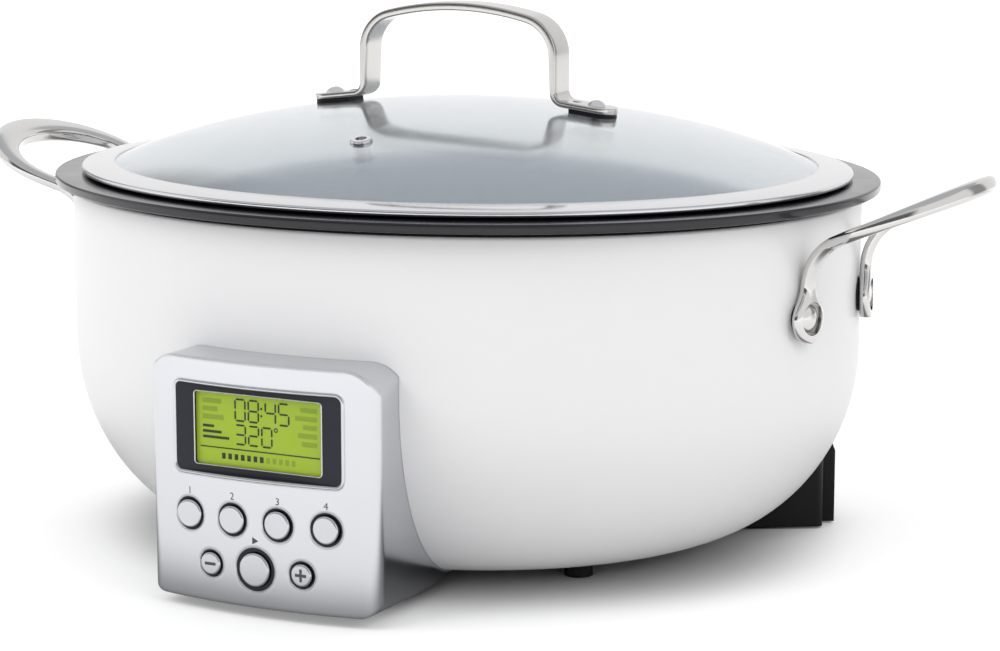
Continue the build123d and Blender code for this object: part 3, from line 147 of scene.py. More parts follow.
# Each grain: dark and light colour, drift scale, roughness and its spread, bump scale and depth
metal = {"Metallic": 1.0}
finishes = {
    "shellEnamel": makeFinish("shellEnamel", {"Coat Weight": 0.25, "Coat Roughness": 0.12}, grain(
        (0.79, 0.79, 0.80), (0.83, 0.83, 0.835), 9, 0.42, 0.08, 900, 0.00002)),
    "potCoat": makeFinish("potCoat", {
        "Specular IOR Level": 0.35, "Coat Weight": 0.3, "Coat Roughness": 0.1}, grain(
        (0.006, 0.006, 0.009), (0.011, 0.0105, 0.015), 60, 0.24, 0.10, 2600, 0.00003)),
    "linerSteel": makeFinish("linerSteel", metal, grain(
        (0.55, 0.55, 0.54), (0.66, 0.66, 0.65), 14, 0.34, 0.14, 1500, 0.00002, (1, 1, 0.1))),
    "lidSteel": makeFinish("lidSteel", metal, grain(
        (0.66, 0.66, 0.675), (0.72, 0.72, 0.735), 25, 0.13, 0.06, 2000, 0.00001)),
    "handleSteel": makeFinish("handleSteel", metal, grain(
        (0.60, 0.59, 0.58), (0.68, 0.67, 0.66), 40, 0.10, 0.08, 700, 0.00002)),
    "strapSteel": makeFinish("strapSteel", metal, grain(
        (0.54, 0.525, 0.51), (0.61, 0.595, 0.58), 30, 0.17, 0.08, 2500, 0.00001, (0.06, 1, 1))),
    "housingSilver": makeFinish("housingSilver", metal, grain(
        (0.62, 0.63, 0.66), (0.67, 0.68, 0.71), 20, 0.15, 0.06, 3500, 0.00001, edge=0.0020)),
    "buttonChrome": makeFinish("buttonChrome", metal, grain(
        (0.58, 0.59, 0.62), (0.63, 0.64, 0.67), 80, 0.15, 0.06, 3000, 0.00001, edge=0.0004)),
    "bezelDark": makeFinish("bezelDark", {"Specular IOR Level": 0.2}, grain(
        (0.020, 0.020, 0.030), (0.030, 0.030, 0.042), 50, 0.34, 0.10, 4000, 0.00002, edge=0.0004)),
    "blackSilicone": makeFinish("blackSilicone", {"Specular IOR Level": 0.25}, grain(
        (0.006, 0.006, 0.007), (0.011, 0.011, 0.012), 60, 0.50, 0.16, 2500, 0.00003, edge=0.0006)),
    # the gasket's black rubber with the gap's shade painted in: darker than blackSilicone, so the line under
    # the flange reads black
    "gasketRubberAndShade": makeFinish("gasketRubberAndShade", {"Specular IOR Level": 0.08}, grain(
        (0.002, 0.002, 0.002), (0.004, 0.004, 0.004), 60, 0.60, 0.16, 2500, 0.00003)),
    "basePlastic": makeFinish("basePlastic", {"Specular IOR Level": 0.25}, grain(
        (0.006, 0.006, 0.007), (0.011, 0.011, 0.012), 40, 0.40, 0.14, 3200, 0.00004, edge=0.0012)),
    "domeSteel": makeFinish("domeSteel", metal, grain(
        (0.80, 0.79, 0.78), (0.88, 0.87, 0.86), 80, 0.26, 0.10, 2500, 0.00001)),
    "screwSteel": makeFinish("screwSteel", metal, grain(
        (0.58, 0.57, 0.56), (0.70, 0.69, 0.68), 120, 0.27, 0.16, 3000, 0.00002)),
    "castHeater": makeFinish("castHeater", {"Metallic": 0.8}, grain(
        (0.36, 0.36, 0.36), (0.50, 0.50, 0.49), 30, 0.50, 0.16, 900, 0.00008)),
    "elementSheath": makeFinish("elementSheath", {"Metallic": 0.7}, grain(
        (0.13, 0.12, 0.11), (0.24, 0.21, 0.18), 45, 0.45, 0.18, 1800, 0.00003)),
    "ceramic": makeFinish("ceramic", {}, grain(
        (0.68, 0.65, 0.58), (0.80, 0.77, 0.70), 70, 0.62, 0.14, 2200, 0.00004)),
    "trayWhite": makeFinish("trayWhite", {}, grain(
        (0.74, 0.74, 0.72), (0.80, 0.80, 0.79), 40, 0.5, 0.1, 2000, 0.00002)),
    "boardGreen": makeFinish("boardGreen", {"Coat Weight": 0.4}, grain(
        (0.015, 0.10, 0.035), (0.03, 0.16, 0.06), 160, 0.4, 0.12, 1200, 0.00005)),
    "switchBody": makeFinish("switchBody", {}, grain(
        (0.02, 0.02, 0.022), (0.05, 0.05, 0.055), 80, 0.45, 0.12, 2500, 0.00003)),
    "nylon": makeFinish("nylon", {}, grain(
        (0.62, 0.61, 0.56), (0.72, 0.71, 0.67), 60, 0.5, 0.12, 1800, 0.00003)),
    "leadJacket": makeFinish("leadJacket", {}, grain(
        (0.40, 0.40, 0.40), (0.52, 0.52, 0.52), 50, 0.48, 0.12, 2200, 0.00003)),
    "lcdGreen": makeFinish("lcdGreen", {
        "Emission Strength": 0.14, "Emission Color": (0.42, 0.60, 0.01, 1)}, grain(
        (0.285, 0.40, 0.016), (0.315, 0.44, 0.022), 25, 0.42, 0.08, 3000, 0.00001)),
    "lcdInk": makeFinish("lcdInk", {}, grain(
        (0.012, 0.018, 0.012), (0.020, 0.028, 0.018), 90, 0.5, 0.1, 3000, 0.00001)),
    "lcdGhost": makeFinish("lcdGhost", {}, grain(
        (0.235, 0.335, 0.016), (0.26, 0.37, 0.020), 90, 0.5, 0.1, 3000, 0.00001)),
    "printInk": makeFinish("printInk", {}, grain(
        (0.05, 0.05, 0.06), (0.08, 0.08, 0.09), 90, 0.5, 0.1, 3000, 0.00001)),
}


streaks = {"scale": 18, "detail": 3.0, "rough": 0.03, "haze": 0.01}  # faint unevenness of clear sheets


def clearFinish(name, tone, base, edge, rough, haze):
    # see-through sheet: a clear part, and a thin glossy film that grows towards the grazing edge
    material = bpy.data.materials.new(name)
    material.use_nodes = True
    tree = material.node_tree
    film = tree.nodes["Principled BSDF"]
    film.inputs["Base Color"].default_value = (*base, 1)
    film.inputs["Metallic"].default_value = 1.0
    place = Wire(tree, tree.nodes.new("ShaderNodeTexCoord").outputs["Object"])
    streak = place.noise(streaks["scale"], streaks["detail"])
    tree.links.new((rough + streaks["rough"] * streak).socket, film.inputs["Roughness"])
    clear = place.node("ShaderNodeBsdfTransparent", {}, {"Color": (*tone, 1)})
    facing = place.node("ShaderNodeLayerWeight", {}, {"Blend": 0.5}, "Facing")  # same from both faces
    share = haze + (1 - haze) * facing ** edge + streaks["haze"] * streak
    joined = place.node("ShaderNodeMixShader", {}, {0: share, 1: clear, 2: Wire(tree, film.outputs[0])})
    tree.links.new(joined.socket, tree.nodes["Material Output"].inputs["Surface"])
    return material


finishes["lidGlass"] = clearFinish(
    "lidGlass", tone=(0.965, 0.975, 0.98), base=(0.89, 0.935, 0.97), edge=2.7, rough=0.11, haze=0.37)
finishes["windowClear"] = clearFinish(
    "windowClear", tone=(0.985, 0.99, 0.985), base=(0.95, 0.95, 0.95), edge=6.0, rough=0.05, haze=0.0)

nodeFinish = {
    "linerSteel": "inner_liner sensor_bracket fuse_clip lid_handle_nuts handle_nuts",
    "gasketRubberAndShade": "rim_gasket",
    "blackSilicone": "handle_pads lid_handle_pads front_feet leg_pads thermal_fuse",
    "basePlastic": "base_plate rear_leg_left rear_leg_right cord_gland",
    "castHeater": "heating_plate",
    "elementSheath": "heating_element sensor_plunger",
    "ceramic": "element_terminals heater_posts",
    "screwSteel": "base_screws control_board_screws handle_screws heater_screws housing_screws leg_screws "
                  "sensor_spring",
    "lidSteel": "lid_rim steam_vent vent_washer",
    "handleSteel": "side_handle_left side_handle_right",
    "domeSteel": "lid_handle_screws",
    "strapSteel": "lid_handle",
    "shellEnamel": "outer_shell",
    "potCoat": "cooking_pot",
    "lidGlass": "lid_glass",
    "housingSilver": "control_housing",
    "bezelDark": "display_bezel button_bushings start_ring",
    "windowClear": "display_window",
    "lcdGreen": "lcd_panel",
    "trayWhite": "backlight_tray",
    "buttonChrome": "minus_button start_button plus_button preset_button_one preset_button_two "
                    "preset_button_three preset_button_four",
    "boardGreen": "control_board power_board",
    "switchBody": "tact_switches power_relay filter_capacitor terminal_block",
    "nylon": "board_posts",
    "leadJacket": "ribbon_cable heater_leads",
}
for finishName, nodeNames in nodeFinish.items():
    for nodeName in nodeNames.split():
        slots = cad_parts[nodeName].data.materials
        slots.clear()
        slots.append(finishes[finishName])
print("finishes on", sum(len(names.split()) for names in nodeFinish.values()), "nodes")


# Mesh helpers
def addPiece(name, verts, faces, finish, body, slotName, replaced=(), sharp=35):
    mesh = bpy.data.meshes.new(name)
    mesh.from_pydata(verts, [], faces)
    work = bmesh.new()
    work.from_mesh(mesh)
    bmesh.ops.recalc_face_normals(work, faces=work.faces)
    work.to_mesh(mesh)
    work.free()
    mesh.polygons.foreach_set("use_smooth", [True] * len(mesh.polygons))
    mesh.set_sharp_from_angle(angle=math.radians(sharp))
    mesh.materials.append(finishes[finish])
    piece = bpy.data.objects.new(name, mesh)
    bpy.context.scene.collection.objects.link(piece)
    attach(piece, body)
    if replaced:
        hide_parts(*replaced)
    return piece


def softCorner(before, corner, after, radius, steps=6):
    # the arc that rounds one corner of a profile
    before, corner, after = Vector(before), Vector(corner), Vector(after)
    if radius == 0:
        return [corner]
    toBefore, toAfter = (before - corner).normalized(), (after - corner).normalized()
    half = toBefore.angle(toAfter) / 2
    centre = corner + (toBefore + toAfter).normalized() * radius / math.sin(half)
    start = (corner + toBefore * radius / math.tan(half) - centre).normalized()
    end = (corner + toAfter * radius / math.tan(half) - centre).normalized()
    return [centre + start.slerp(end, i / steps) * radius for i in range(steps + 1)]


def softProfile(corners):
    # closed profile from (radius, height, rounding) rows
    points = []
    for i, (x, z, rounding) in enumerate(corners):
        before, after = corners[i - 1], corners[(i + 1) % len(corners)]
        points += softCorner(before[:2], (x, z), after[:2], rounding)
    return points


def bowlCorner(floorRadius, floorZ, kneeRadius, kneeZ, steps=28):
    # the elliptical corner of a bowl, from its floor up to its knee
    turns = [math.pi / 2 * i / steps for i in range(steps + 1)]
    run, rise = kneeRadius - floorRadius, kneeZ - floorZ
    return [Vector((floorRadius + run * math.sin(t), kneeZ - rise * math.cos(t))) for t in turns]


onAxis = 1e-9  # radii below this count as the axis


def latheOval(profile, steps=320):
    # turns a profile round the axis and narrows it to the oval; a point on the axis is one pole
    verts, rings = [], []
    turns = [2 * math.pi * i / steps for i in range(steps)]
    for radius, z in profile:
        if radius < onAxis:
            rings.append([len(verts)] * steps)
            verts.append((0, 0, z))
        else:
            rings.append(list(range(len(verts), len(verts) + steps)))
            verts += [(radius * math.cos(t), planShare * radius * math.sin(t), z) for t in turns]
    pairs = list(zip(rings, rings[1:]))
    if profile[0][0] > onAxis:
        pairs.append((rings[-1], rings[0]))
    faces = []
    for lower, upper in pairs:
        for i in range(steps):
            j = (i + 1) % steps
            faces.append(list(dict.fromkeys((lower[i], lower[j], upper[j], upper[i]))))
    return verts, faces


def addLathe(name, profile, finish, body, slotName, replaced):
    # a piece turned from a profile in mm
    addPiece(name, *latheOval([point * mm for point in profile]), finish, body, slotName, replaced)


def sweepBar(stations, ringSteps, power, closed=False):
    # bar through stations of (centre, across, normal, half width, half thickness); the section is round at a
    # power of 2 and squarer above it, with one power for all stations or a list of them
    verts, faces = [], []
    turns = [2 * math.pi * i / ringSteps for i in range(ringSteps)]
    count = len(stations)
    powers = power if isinstance(power, list) else [power] * count

    def bulge(value, square):
        return math.copysign(abs(value) ** (2 / square), value)
    for (centre, across, normal, halfWidth, halfThick), square in zip(stations, powers):
        for t in turns:
            sideStep = across * bulge(math.cos(t), square) * halfWidth
            verts.append(centre + sideStep + normal * bulge(math.sin(t), square) * halfThick)
    for k in range(count if closed else count - 1):
        here, there = k * ringSteps, (k + 1) % count * ringSteps
        for i in range(ringSteps):
            j = (i + 1) % ringSteps
            faces.append((here + i, here + j, there + j, there + i))
    if not closed:
        faces += [list(range(ringSteps)), list(range((count - 1) * ringSteps, count * ringSteps))]
    return verts, faces


roundPower = 2  # sweepBar's power for a round section


def addTurned(verts, faces, seat, axis, rings, steps=40):
    # adds a turned solid on a seat, from rings of (distance along the axis, radius), all in mm
    flat = axis.orthogonal().normalized()
    stations = [((seat + axis * d) * mm, flat, axis.cross(flat), r * mm, r * mm) for d, r in rings]
    newVerts, newFaces = sweepBar(stations, steps, roundPower)
    first = len(verts)
    verts += newVerts
    faces += [[first + corner for corner in face] for face in newFaces]


def cutWith(piece, verts, faces):
    # takes a closed cutter out of a piece, once and for all
    mesh = bpy.data.meshes.new("cutter")
    mesh.from_pydata(verts, [], faces)
    cutter = bpy.data.objects.new("cutter", mesh)
    bpy.context.scene.collection.objects.link(cutter)
    bpy.context.view_layer.update()
    step = piece.modifiers.new("cut", "BOOLEAN")
    step.operation, step.object, step.solver = "DIFFERENCE", cutter, "EXACT"
    graph = bpy.context.evaluated_depsgraph_get()
    cutMesh = bpy.data.meshes.new_from_object(piece.evaluated_get(graph))
    piece.modifiers.clear()
    oldMesh, piece.data = piece.data, cutMesh
    bpy.data.meshes.remove(oldMesh)
    bpy.data.objects.remove(cutter)


# Shell, pot, rim and glass: the oval pieces, as fine lathe skins
shell = {"floorRadius": 102.5, "kneeZ": 88.4, "wall": 2.0, "opening": 84.0, "lip": 4.2, "lipRound": 1.6,
         "lipInside": 0.4}
(_, _, shellFloor), (shellRadius, _, shellTop) = boxMm("outer_shell")
wallRadius, lipRadius = shellRadius - shell["wall"], shellRadius - shell["lip"]
shellOuter = bowlCorner(shell["floorRadius"], shellFloor, shellRadius, shell["kneeZ"])
shellInner = bowlCorner(shell["floorRadius"], shellFloor + shell["wall"], wallRadius, shell["kneeZ"])
lipEdge = softProfile([
    (shellRadius, shell["kneeZ"], 0),
    (shellRadius, shellTop, shell["lipRound"]),
    (lipRadius, shellTop, shell["lipInside"]),
    (lipRadius, shellTop - shell["wall"], shell["lipInside"]),
    (wallRadius, shellTop - shell["wall"], 0)])
shellProfile = [Vector((shell["opening"], shellFloor))] + shellOuter + lipEdge[1:]
shellProfile += shellInner[::-1] + [Vector((shell["opening"], shellFloor + shell["wall"]))]
addLathe("shellSkin", shellProfile, "shellEnamel", "base", "shell_paint", ["outer_shell"])

pot = {"wall": 3.0, "floorThick": 4.0, "floorRadius": 100.0, "kneeZ": 114.3, "draft": 3.0,
       "bodyRadius": 168.0, "flangeThick": 4.0, "neckRound": 1.5, "edgeRound": 1.0, "mouthRound": 2.2}
(_, _, potFloor), (flangeRadius, _, flangeTop) = boxMm("cooking_pot")
potKnee = pot["bodyRadius"] - pot["draft"]
potOuter = bowlCorner(pot["floorRadius"], potFloor, potKnee, pot["kneeZ"])
potInner = bowlCorner(pot["floorRadius"], potFloor + pot["floorThick"], potKnee - pot["wall"], pot["kneeZ"])
flangeEdge = softProfile([
    (potKnee, pot["kneeZ"], 0),
    (pot["bodyRadius"], flangeTop - pot["flangeThick"], pot["neckRound"]),
    (flangeRadius, flangeTop - pot["flangeThick"], pot["edgeRound"]),
    (flangeRadius, flangeTop, pot["edgeRound"]),
    (pot["bodyRadius"] - pot["wall"], flangeTop, pot["mouthRound"]),
    (potKnee - pot["wall"], pot["kneeZ"], 0)])
potProfile = [Vector((0, potFloor))] + potOuter + flangeEdge[1:-1] + potInner[::-1]
potProfile += [Vector((0, potFloor + pot["floorThick"]))]
addLathe("potSkin", potProfile, "potCoat", "pot", "pot_anodised", ["cooking_pot"])

rim = {"band": 15.0, "topFall": 1.7, "edgeThick": 2.2, "overhang": 5.0, "seatZ": 160.0, "skirt": 163.2,
       "edgeRound": 1.0, "glassRound": 0.35, "seatRound": 0.6, "neckRound": 0.5, "skirtRound": 0.8}
(_, _, rimBottom), (rimRadius, _, rimTop) = boxMm("lid_rim")
rimInner = rimRadius - rim["band"]
rimProfile = softProfile([
    (rimInner, rimTop, rim["glassRound"]),
    (rimRadius, rimTop - rim["topFall"], rim["edgeRound"]),
    (rimRadius, rimTop - rim["topFall"] - rim["edgeThick"], rim["edgeRound"]),
    (rimRadius - rim["overhang"], rim["seatZ"], rim["seatRound"]),
    (rim["skirt"], rim["seatZ"], rim["neckRound"]),
    (rim["skirt"], rimBottom, rim["skirtRound"]),
    (rimInner, rimBottom, rim["skirtRound"])])
addLathe("rimSkin", rimProfile, "lidSteel", "lid", "lid_steel", ["lid_rim"])

dome = {"span": 203.0, "crown": 72.56, "centreZ": 118.44, "thick": 4.0, "edge": 160.6, "steps": 56}


def domeArc(depth):
    # the dome's section from the axis out to the edge, at a depth inside the outer face
    span, crown = dome["span"] - depth, dome["crown"] - depth
    radii = [dome["edge"] * i / dome["steps"] for i in range(dome["steps"] + 1)]
    return [Vector((r, dome["centreZ"] + crown * math.sqrt(1 - (r / span) ** 2))) for r in radii]


glassProfile = domeArc(0) + domeArc(dome["thick"])[::-1]
addLathe("glassSkin", glassProfile, "lidGlass", "lid", "lid_glass", ["lid_glass"])
print("oval skins made")


# Lid handle: a bent strap with soft edges
def arcPoints(centre, radius, start, end, steps):
    # points of an arc in the XZ plane, angles in degrees
    turns = [math.radians(start + (end - start) * i / steps) for i in range(steps + 1)]
    return [Vector((centre[0] + radius * math.cos(t), 0, centre[1] + radius * math.sin(t))) for t in turns]


def upright(point):
    # a flat (x, z) point stood up in the XZ plane
    return Vector((point[0], 0, point[1]))


strap = {"width": 15.0, "thick": 2.8, "legX": 47.0, "endX": 74.0, "cornerRadius": 17.0, "kneeRadius": 5.0,
         "archAngle": 14.0, "screwX": 64.3, "padThick": 1.6, "archGrow": 0.45, "power": 8, "tipHalf": 0.4,
         "flatReach": 1.4, "endSteps": 10, "kneeSteps": 10, "legSteps": 6, "cornerSteps": 14, "archSteps": 16,
         "ringSteps": 48, "sharp": 50}


def domeHeight(x):
    return dome["centreZ"] + dome["crown"] * math.sqrt(1 - (x / dome["span"]) ** 2)


def domeFall(x):  # how far the dome drops for each step out along the long axis
    return dome["crown"] * x / dome["span"] ** 2 / math.sqrt(1 - (x / dome["span"]) ** 2)


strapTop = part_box("lid_handle")[1][2] / mm
footFall = domeFall(strap["screwX"])
footLift = (strap["padThick"] + strap["thick"] / 2) * math.hypot(1, footFall)
footZ = domeHeight(strap["screwX"]) + footLift
archTurn = math.radians(strap["archAngle"])
archRadius = (strap["legX"] - strap["cornerRadius"] * (1 - math.sin(archTurn))) / math.sin(archTurn)
middleZ = strapTop - strap["thick"] / 2
legTopZ = middleZ - strap["cornerRadius"] * math.cos(archTurn) - archRadius * (1 - math.cos(archTurn))
foot = Vector((strap["endX"], footZ - (strap["endX"] - strap["screwX"]) * footFall))
knee = Vector((strap["legX"], footZ + (strap["screwX"] - strap["legX"]) * footFall))
legTop = (strap["legX"], legTopZ)
kneeArc = [upright(p) for p in softCorner(foot, knee, legTop, strap["kneeRadius"], strap["kneeSteps"])]
endTurns = [math.pi / 2 * i / strap["endSteps"] for i in range(strap["endSteps"])]
endReach = strap["width"] / 2
footEnd = upright(foot)
footDirection = (kneeArc[0] - footEnd).normalized()
strapPath = [footEnd + footDirection * endReach * (1 - math.cos(t)) for t in endTurns]
strapPath += [footEnd + footDirection * d for d in (endReach, endReach * strap["flatReach"])]
strapPath += kneeArc
legFoot = kneeArc[-1].z
legClimbs = [(legTopZ - legFoot) * i / strap["legSteps"] for i in range(1, strap["legSteps"])]
strapPath += [upright((strap["legX"], legFoot + climb)) for climb in legClimbs]
cornerCentre = (strap["legX"] - strap["cornerRadius"], legTopZ)
archStart = 90 - strap["archAngle"]
strapPath += arcPoints(cornerCentre, strap["cornerRadius"], 0, archStart, strap["cornerSteps"])
strapPath += arcPoints((0, middleZ - archRadius), archRadius, archStart, 90, strap["archSteps"])[1:]
strapPath += [Vector((-p.x, 0, p.z)) for p in strapPath[-2::-1]]


def pathStations(path, halfWidths, halfThicks, normals):
    # stations for sweepBar: the normal is squared up to the path at each point
    stations = []
    for i, point in enumerate(path):
        along = (path[min(i + 1, len(path) - 1)] - path[max(i - 1, 0)]).normalized()
        across = along.cross(normals[i]).normalized()
        normal = across.cross(along).normalized()
        stations.append((point * mm, across, normal, halfWidths[i] * mm, halfThicks[i] * mm))
    return stations


strapHalf = []
for i in range(len(strapPath)):
    fromEnd = min(i, len(strapPath) - 1 - i)
    turn = math.pi / 2 * min(fromEnd / strap["endSteps"], 1)
    strapHalf.append(max(strap["width"] / 2 * math.sin(turn), strap["tipHalf"]))
sideways = Vector((0, 1, 0))
strapNormals = []
for i in range(len(strapPath)):
    along = strapPath[min(i + 1, len(strapPath) - 1)] - strapPath[max(i - 1, 0)]
    strapNormals.append(along.cross(sideways))
# above the knees the strap grows thicker on its inner face
climbShares = [min(max((point.z - knee.y) / (legTopZ - knee.y), 0), 1) for point in strapPath]
grown = [strap["archGrow"] * share for share in climbShares]
strapPath = [p + n.normalized() * g for p, n, g in zip(strapPath, strapNormals, grown)]
strapThicks = [strap["thick"] / 2 + g for g in grown]
strapStations = pathStations(strapPath, strapHalf, strapThicks, strapNormals)
strapMesh = sweepBar(strapStations, strap["ringSteps"], strap["power"])
addPiece("lidStrap", *strapMesh, "strapSteel", "lid", "handle_steel", ["lid_handle"], strap["sharp"])

spot = {"x": 55.2, "radius": 1.9, "sink": 0.8, "lift": 0.4, "edge": 0.5}  # flush studs beside the knees
spotVerts, spotFaces = [], []
spotRings = [(-spot["sink"], spot["radius"]), (spot["lift"] / 2, spot["radius"]),
             (spot["lift"], spot["radius"] - spot["edge"])]
for side in (-1, 1):
    spotAxis = Vector((side * footFall, 0, 1)).normalized()
    spotMiddle = Vector((side * spot["x"], 0, footZ + (strap["screwX"] - spot["x"]) * footFall))
    addTurned(spotVerts, spotFaces, spotMiddle + spotAxis * strap["thick"] / 2, spotAxis, spotRings)
addPiece("strapStuds", spotVerts, spotFaces, "screwSteel", "lid", "screw_steel")
print("lid strap made")


# Side handles: poured bars that flare into a boss at each end
handle = {"y": 33.0, "z": 113.0, "pad": 0.5, "bossRadius": 10.2, "bossThick": 5.8, "bossSteps": 12,
          "footHalf": 0.5, "footShare": 0.8, "legWidth": 7.4, "legThick": 5.0, "legRise": 12.8,
          "legSteps": 14, "drawReach": 1.3, "bend": 22.0, "bendSteps": 14, "incline": 23.0, "reach": 56.3,
          "loopCentre": 16.0, "loopSteps": 40, "tipWidth": 14.5, "tipThick": 8.0, "widenPower": 2.2,
          "recess": 6.9, "recessDepth": 3.2, "recessCut": 9.6, "recessSteps": 48, "easing": 8, "still": 20,
          "rivet": 5.7, "rivetEdge": 0.3, "rivetDome": 2.3, "rivetSteps": 12, "shank": 2.4,
          "shankEnd": -3.9, "bossPower": 2.1, "loopPower": 3.4, "powerRows": 60, "ringSteps": 32,
          "barSharp": 60, "cutSharp": 40}


def wallPoint(y):
    # the shell's wall on the right at a place along Y, with its outward normal
    shortRadius = shellRadius * planShare
    x = shellRadius * math.sqrt(1 - (y / shortRadius) ** 2)
    return Vector((x, y, 0)), Vector((x / shellRadius ** 2, y / shortRadius ** 2, 0)).normalized()


up = Vector((0, 0, 1))


def halfHandle():
    # rows of (point, normal, half width, half thickness) from one boss's foot to the tip's middle, for +Y
    h = handle
    wall, out = wallPoint(h["y"])
    rows = []
    boss = h["bossRadius"]
    middle = wall + out * (h["pad"] + h["bossThick"] / 2)
    for i in range(h["bossSteps"] + 1):  # the boss's round foot
        turn = math.pi / 2 * i / h["bossSteps"]
        drop = boss * math.cos(turn)
        halfThick = h["bossThick"] / 2 * (h["footShare"] + (1 - h["footShare"]) * math.sin(turn))
        halfWidth = max(boss * math.sin(turn), h["footHalf"])
        rows.append((middle + up * (h["z"] - drop), -out, halfWidth, halfThick))
    for i in range(1, h["legSteps"] + 1):  # drawing in to the leg
        climb = h["legRise"] * i / h["legSteps"]
        ease = (1 + math.cos(math.pi * min(climb / (boss * h["drawReach"]), 1))) / 2
        halfThick = h["legThick"] / 2 + (h["bossThick"] - h["legThick"]) / 2 * ease
        halfWidth = h["legWidth"] / 2 + (boss - h["legWidth"] / 2) * ease
        rows.append((wall + out * (h["pad"] + halfThick) + up * (h["z"] + climb), -out, halfWidth, halfThick))
    centre = wall + out * (h["pad"] + h["legThick"] / 2 + h["bend"]) + up * (h["z"] + h["legRise"])
    bendTurn = math.radians(90 - h["incline"])
    for i in range(1, h["bendSteps"] + 1):  # bending outwards
        turn = bendTurn * i / h["bendSteps"]
        toCentre = out * math.cos(turn) - up * math.sin(turn)
        rows.append((centre - toCentre * h["bend"], -toCentre, h["legWidth"] / 2, h["legThick"] / 2))
    tilt = math.radians(h["incline"])
    loopOut = upright((math.cos(tilt), math.sin(tilt)))
    loopUp = upright((-math.sin(tilt), math.cos(tilt)))
    start = rows[-1][0]
    origin = Vector((start.x, 0, start.z))
    reach = h["reach"] - h["loopCentre"] - h["tipWidth"] / 2
    startTurn = math.acos(-h["loopCentre"] / reach)
    halfSpan = start.y / math.sin(startTurn)
    for i in range(1, h["loopSteps"] + 1):  # the loop, widening towards the tip
        run = i / h["loopSteps"]
        turn = startTurn * (1 - run)
        share = math.sin(math.pi / 2 * run) ** h["widenPower"]
        place = origin + loopOut * (h["loopCentre"] + reach * math.cos(turn))
        place += sideways * halfSpan * math.sin(turn)
        halfWidth = (h["legWidth"] + (h["tipWidth"] - h["legWidth"]) * share) / 2
        halfThick = (h["legThick"] + (h["tipThick"] - h["legThick"]) * share) / 2
        rows.append((place, loopUp, halfWidth, halfThick))
    return rows


def mirrorRow(row, x, y):
    turned = [Vector((v.x * x, v.y * y, v.z)) for v in row[:2]]
    return (*turned, row[2], row[3])


nearRows = halfHandle()
recessFloor = handle["pad"] + handle["bossThick"] - handle["recessDepth"]
recessEnds = (recessFloor, recessFloor + handle["recessCut"])
recessRadius = handle["recess"] * mm
rivetRings = [(handle["shankEnd"], handle["shank"]), (recessFloor, handle["shank"])]
rivetRings.append((recessFloor, handle["rivet"]))
for i in range(handle["rivetSteps"]):  # the rivet's domed head
    turn = math.pi / 2 * i / handle["rivetSteps"]
    rise = handle["rivetEdge"] + handle["rivetDome"] * math.sin(turn)
    rivetRings.append((recessFloor + rise, handle["rivet"] * math.cos(turn)))
rivetVerts, rivetFaces = [], []
for sideName, sideSign in (("right", 1), ("left", -1)):
    rows = [mirrorRow(row, sideSign, 1) for row in nearRows]
    rows += [mirrorRow(row, sideSign, -1) for row in nearRows[-2::-1]]
    path, normals, halfWidths, halfThicks = [list(column) for column in zip(*rows)]
    still = handle["still"]  # points at each end that keep the boss round
    for _ in range(handle["easing"]):  # eases the joints between the straight, bent and looped runs
        eased = [(a + 2 * b + c) / 4 for a, b, c in zip(path, path[1:], path[2:])]
        path = path[:still] + eased[still - 1:1 - still] + path[-still:]
    stations = pathStations(path, halfWidths, halfThicks, normals)
    fromEnds = [min(i, len(rows) - 1 - i) for i in range(len(rows))]
    powerGain = handle["loopPower"] - handle["bossPower"]
    powers = [handle["bossPower"] + powerGain * min(i / handle["powerRows"], 1) for i in fromEnds]
    barMesh = sweepBar(stations, handle["ringSteps"], powers)
    bar = addPiece(f"loopHandle{sideName.title()}", *barMesh, "handleSteel", "base", "handle_steel",
                   [f"side_handle_{sideName}"], handle["barSharp"])
    for end in (-1, 1):  # the rivet and its recess in each boss
        wall, out = wallPoint(end * handle["y"])
        wall, out = [Vector((v.x * sideSign, v.y, 0)) for v in (wall, out)]
        seat = wall + up * handle["z"]
        across = out.cross(up)
        tube = [((seat + out * d) * mm, across, up, recessRadius, recessRadius) for d in recessEnds]
        cutWith(bar, *sweepBar(tube, handle["recessSteps"], roundPower))
        addTurned(rivetVerts, rivetFaces, seat, out, rivetRings)
    bar.data.set_sharp_from_angle(angle=math.radians(handle["cutSharp"]))
addPiece("handleRivets", rivetVerts, rivetFaces, "handleSteel", "base", "screw_steel", ["handle_screws"])
print("side handles made")


# Display: seven-bar digits, plain bars and ticks on the green panel
# Places and lengths that end in Share are shares of the panel's width or height
display = {"stroke": 0.8, "gap": 0.25, "thick": 0.03, "timeDigits": "0845", "heatDigits": "320",
           "digitShare": 0.078, "pitchShare": 0.104, "timeShare": 0.29, "heatShare": 0.26,
           "timeAtShare": (0.31, 0.08), "heatAtShare": (0.31, 0.43), "colonAfter": 1, "colonBack": 0.6,
           "colonDot": 1.15, "colonDropShare": (0.28, 0.62), "colonRunShare": 0.030,
           "degreeRight": 0.4, "degreeDown": 0.5, "degreeOuter": 0.95, "degreeInner": 0.45}
levels = {"lengthShare": (0.09, 0.15, 0.21), "atShare": (0.05, 0.46), "pitchShare": 0.075, "high": 1.1}
rule = {"atShare": (0.03, 0.755), "lengthShare": 0.94, "high": 0.55}
ticks = {"count": 12, "lit": 7, "atShare": (0.20, 0.83), "pitchShare": 0.05, "wide": 1.7, "high": 2.4}
unlit = {"rightShare": (0.13, 0.17, 0.11, 0.15, 0.12), "rightEdgeShare": 0.95, "rightPitchShare": 0.115,
         "leftShare": (0.15, 0.12, 0.17), "leftEdgeShare": 0.05, "leftPitchShare": 0.11,
         "topShare": 0.10, "high": 2.0}
lcdLow, lcdHigh = boxMm("lcd_panel")
lcdWidth, lcdHeight = lcdHigh[0] - lcdLow[0], lcdHigh[2] - lcdLow[2]
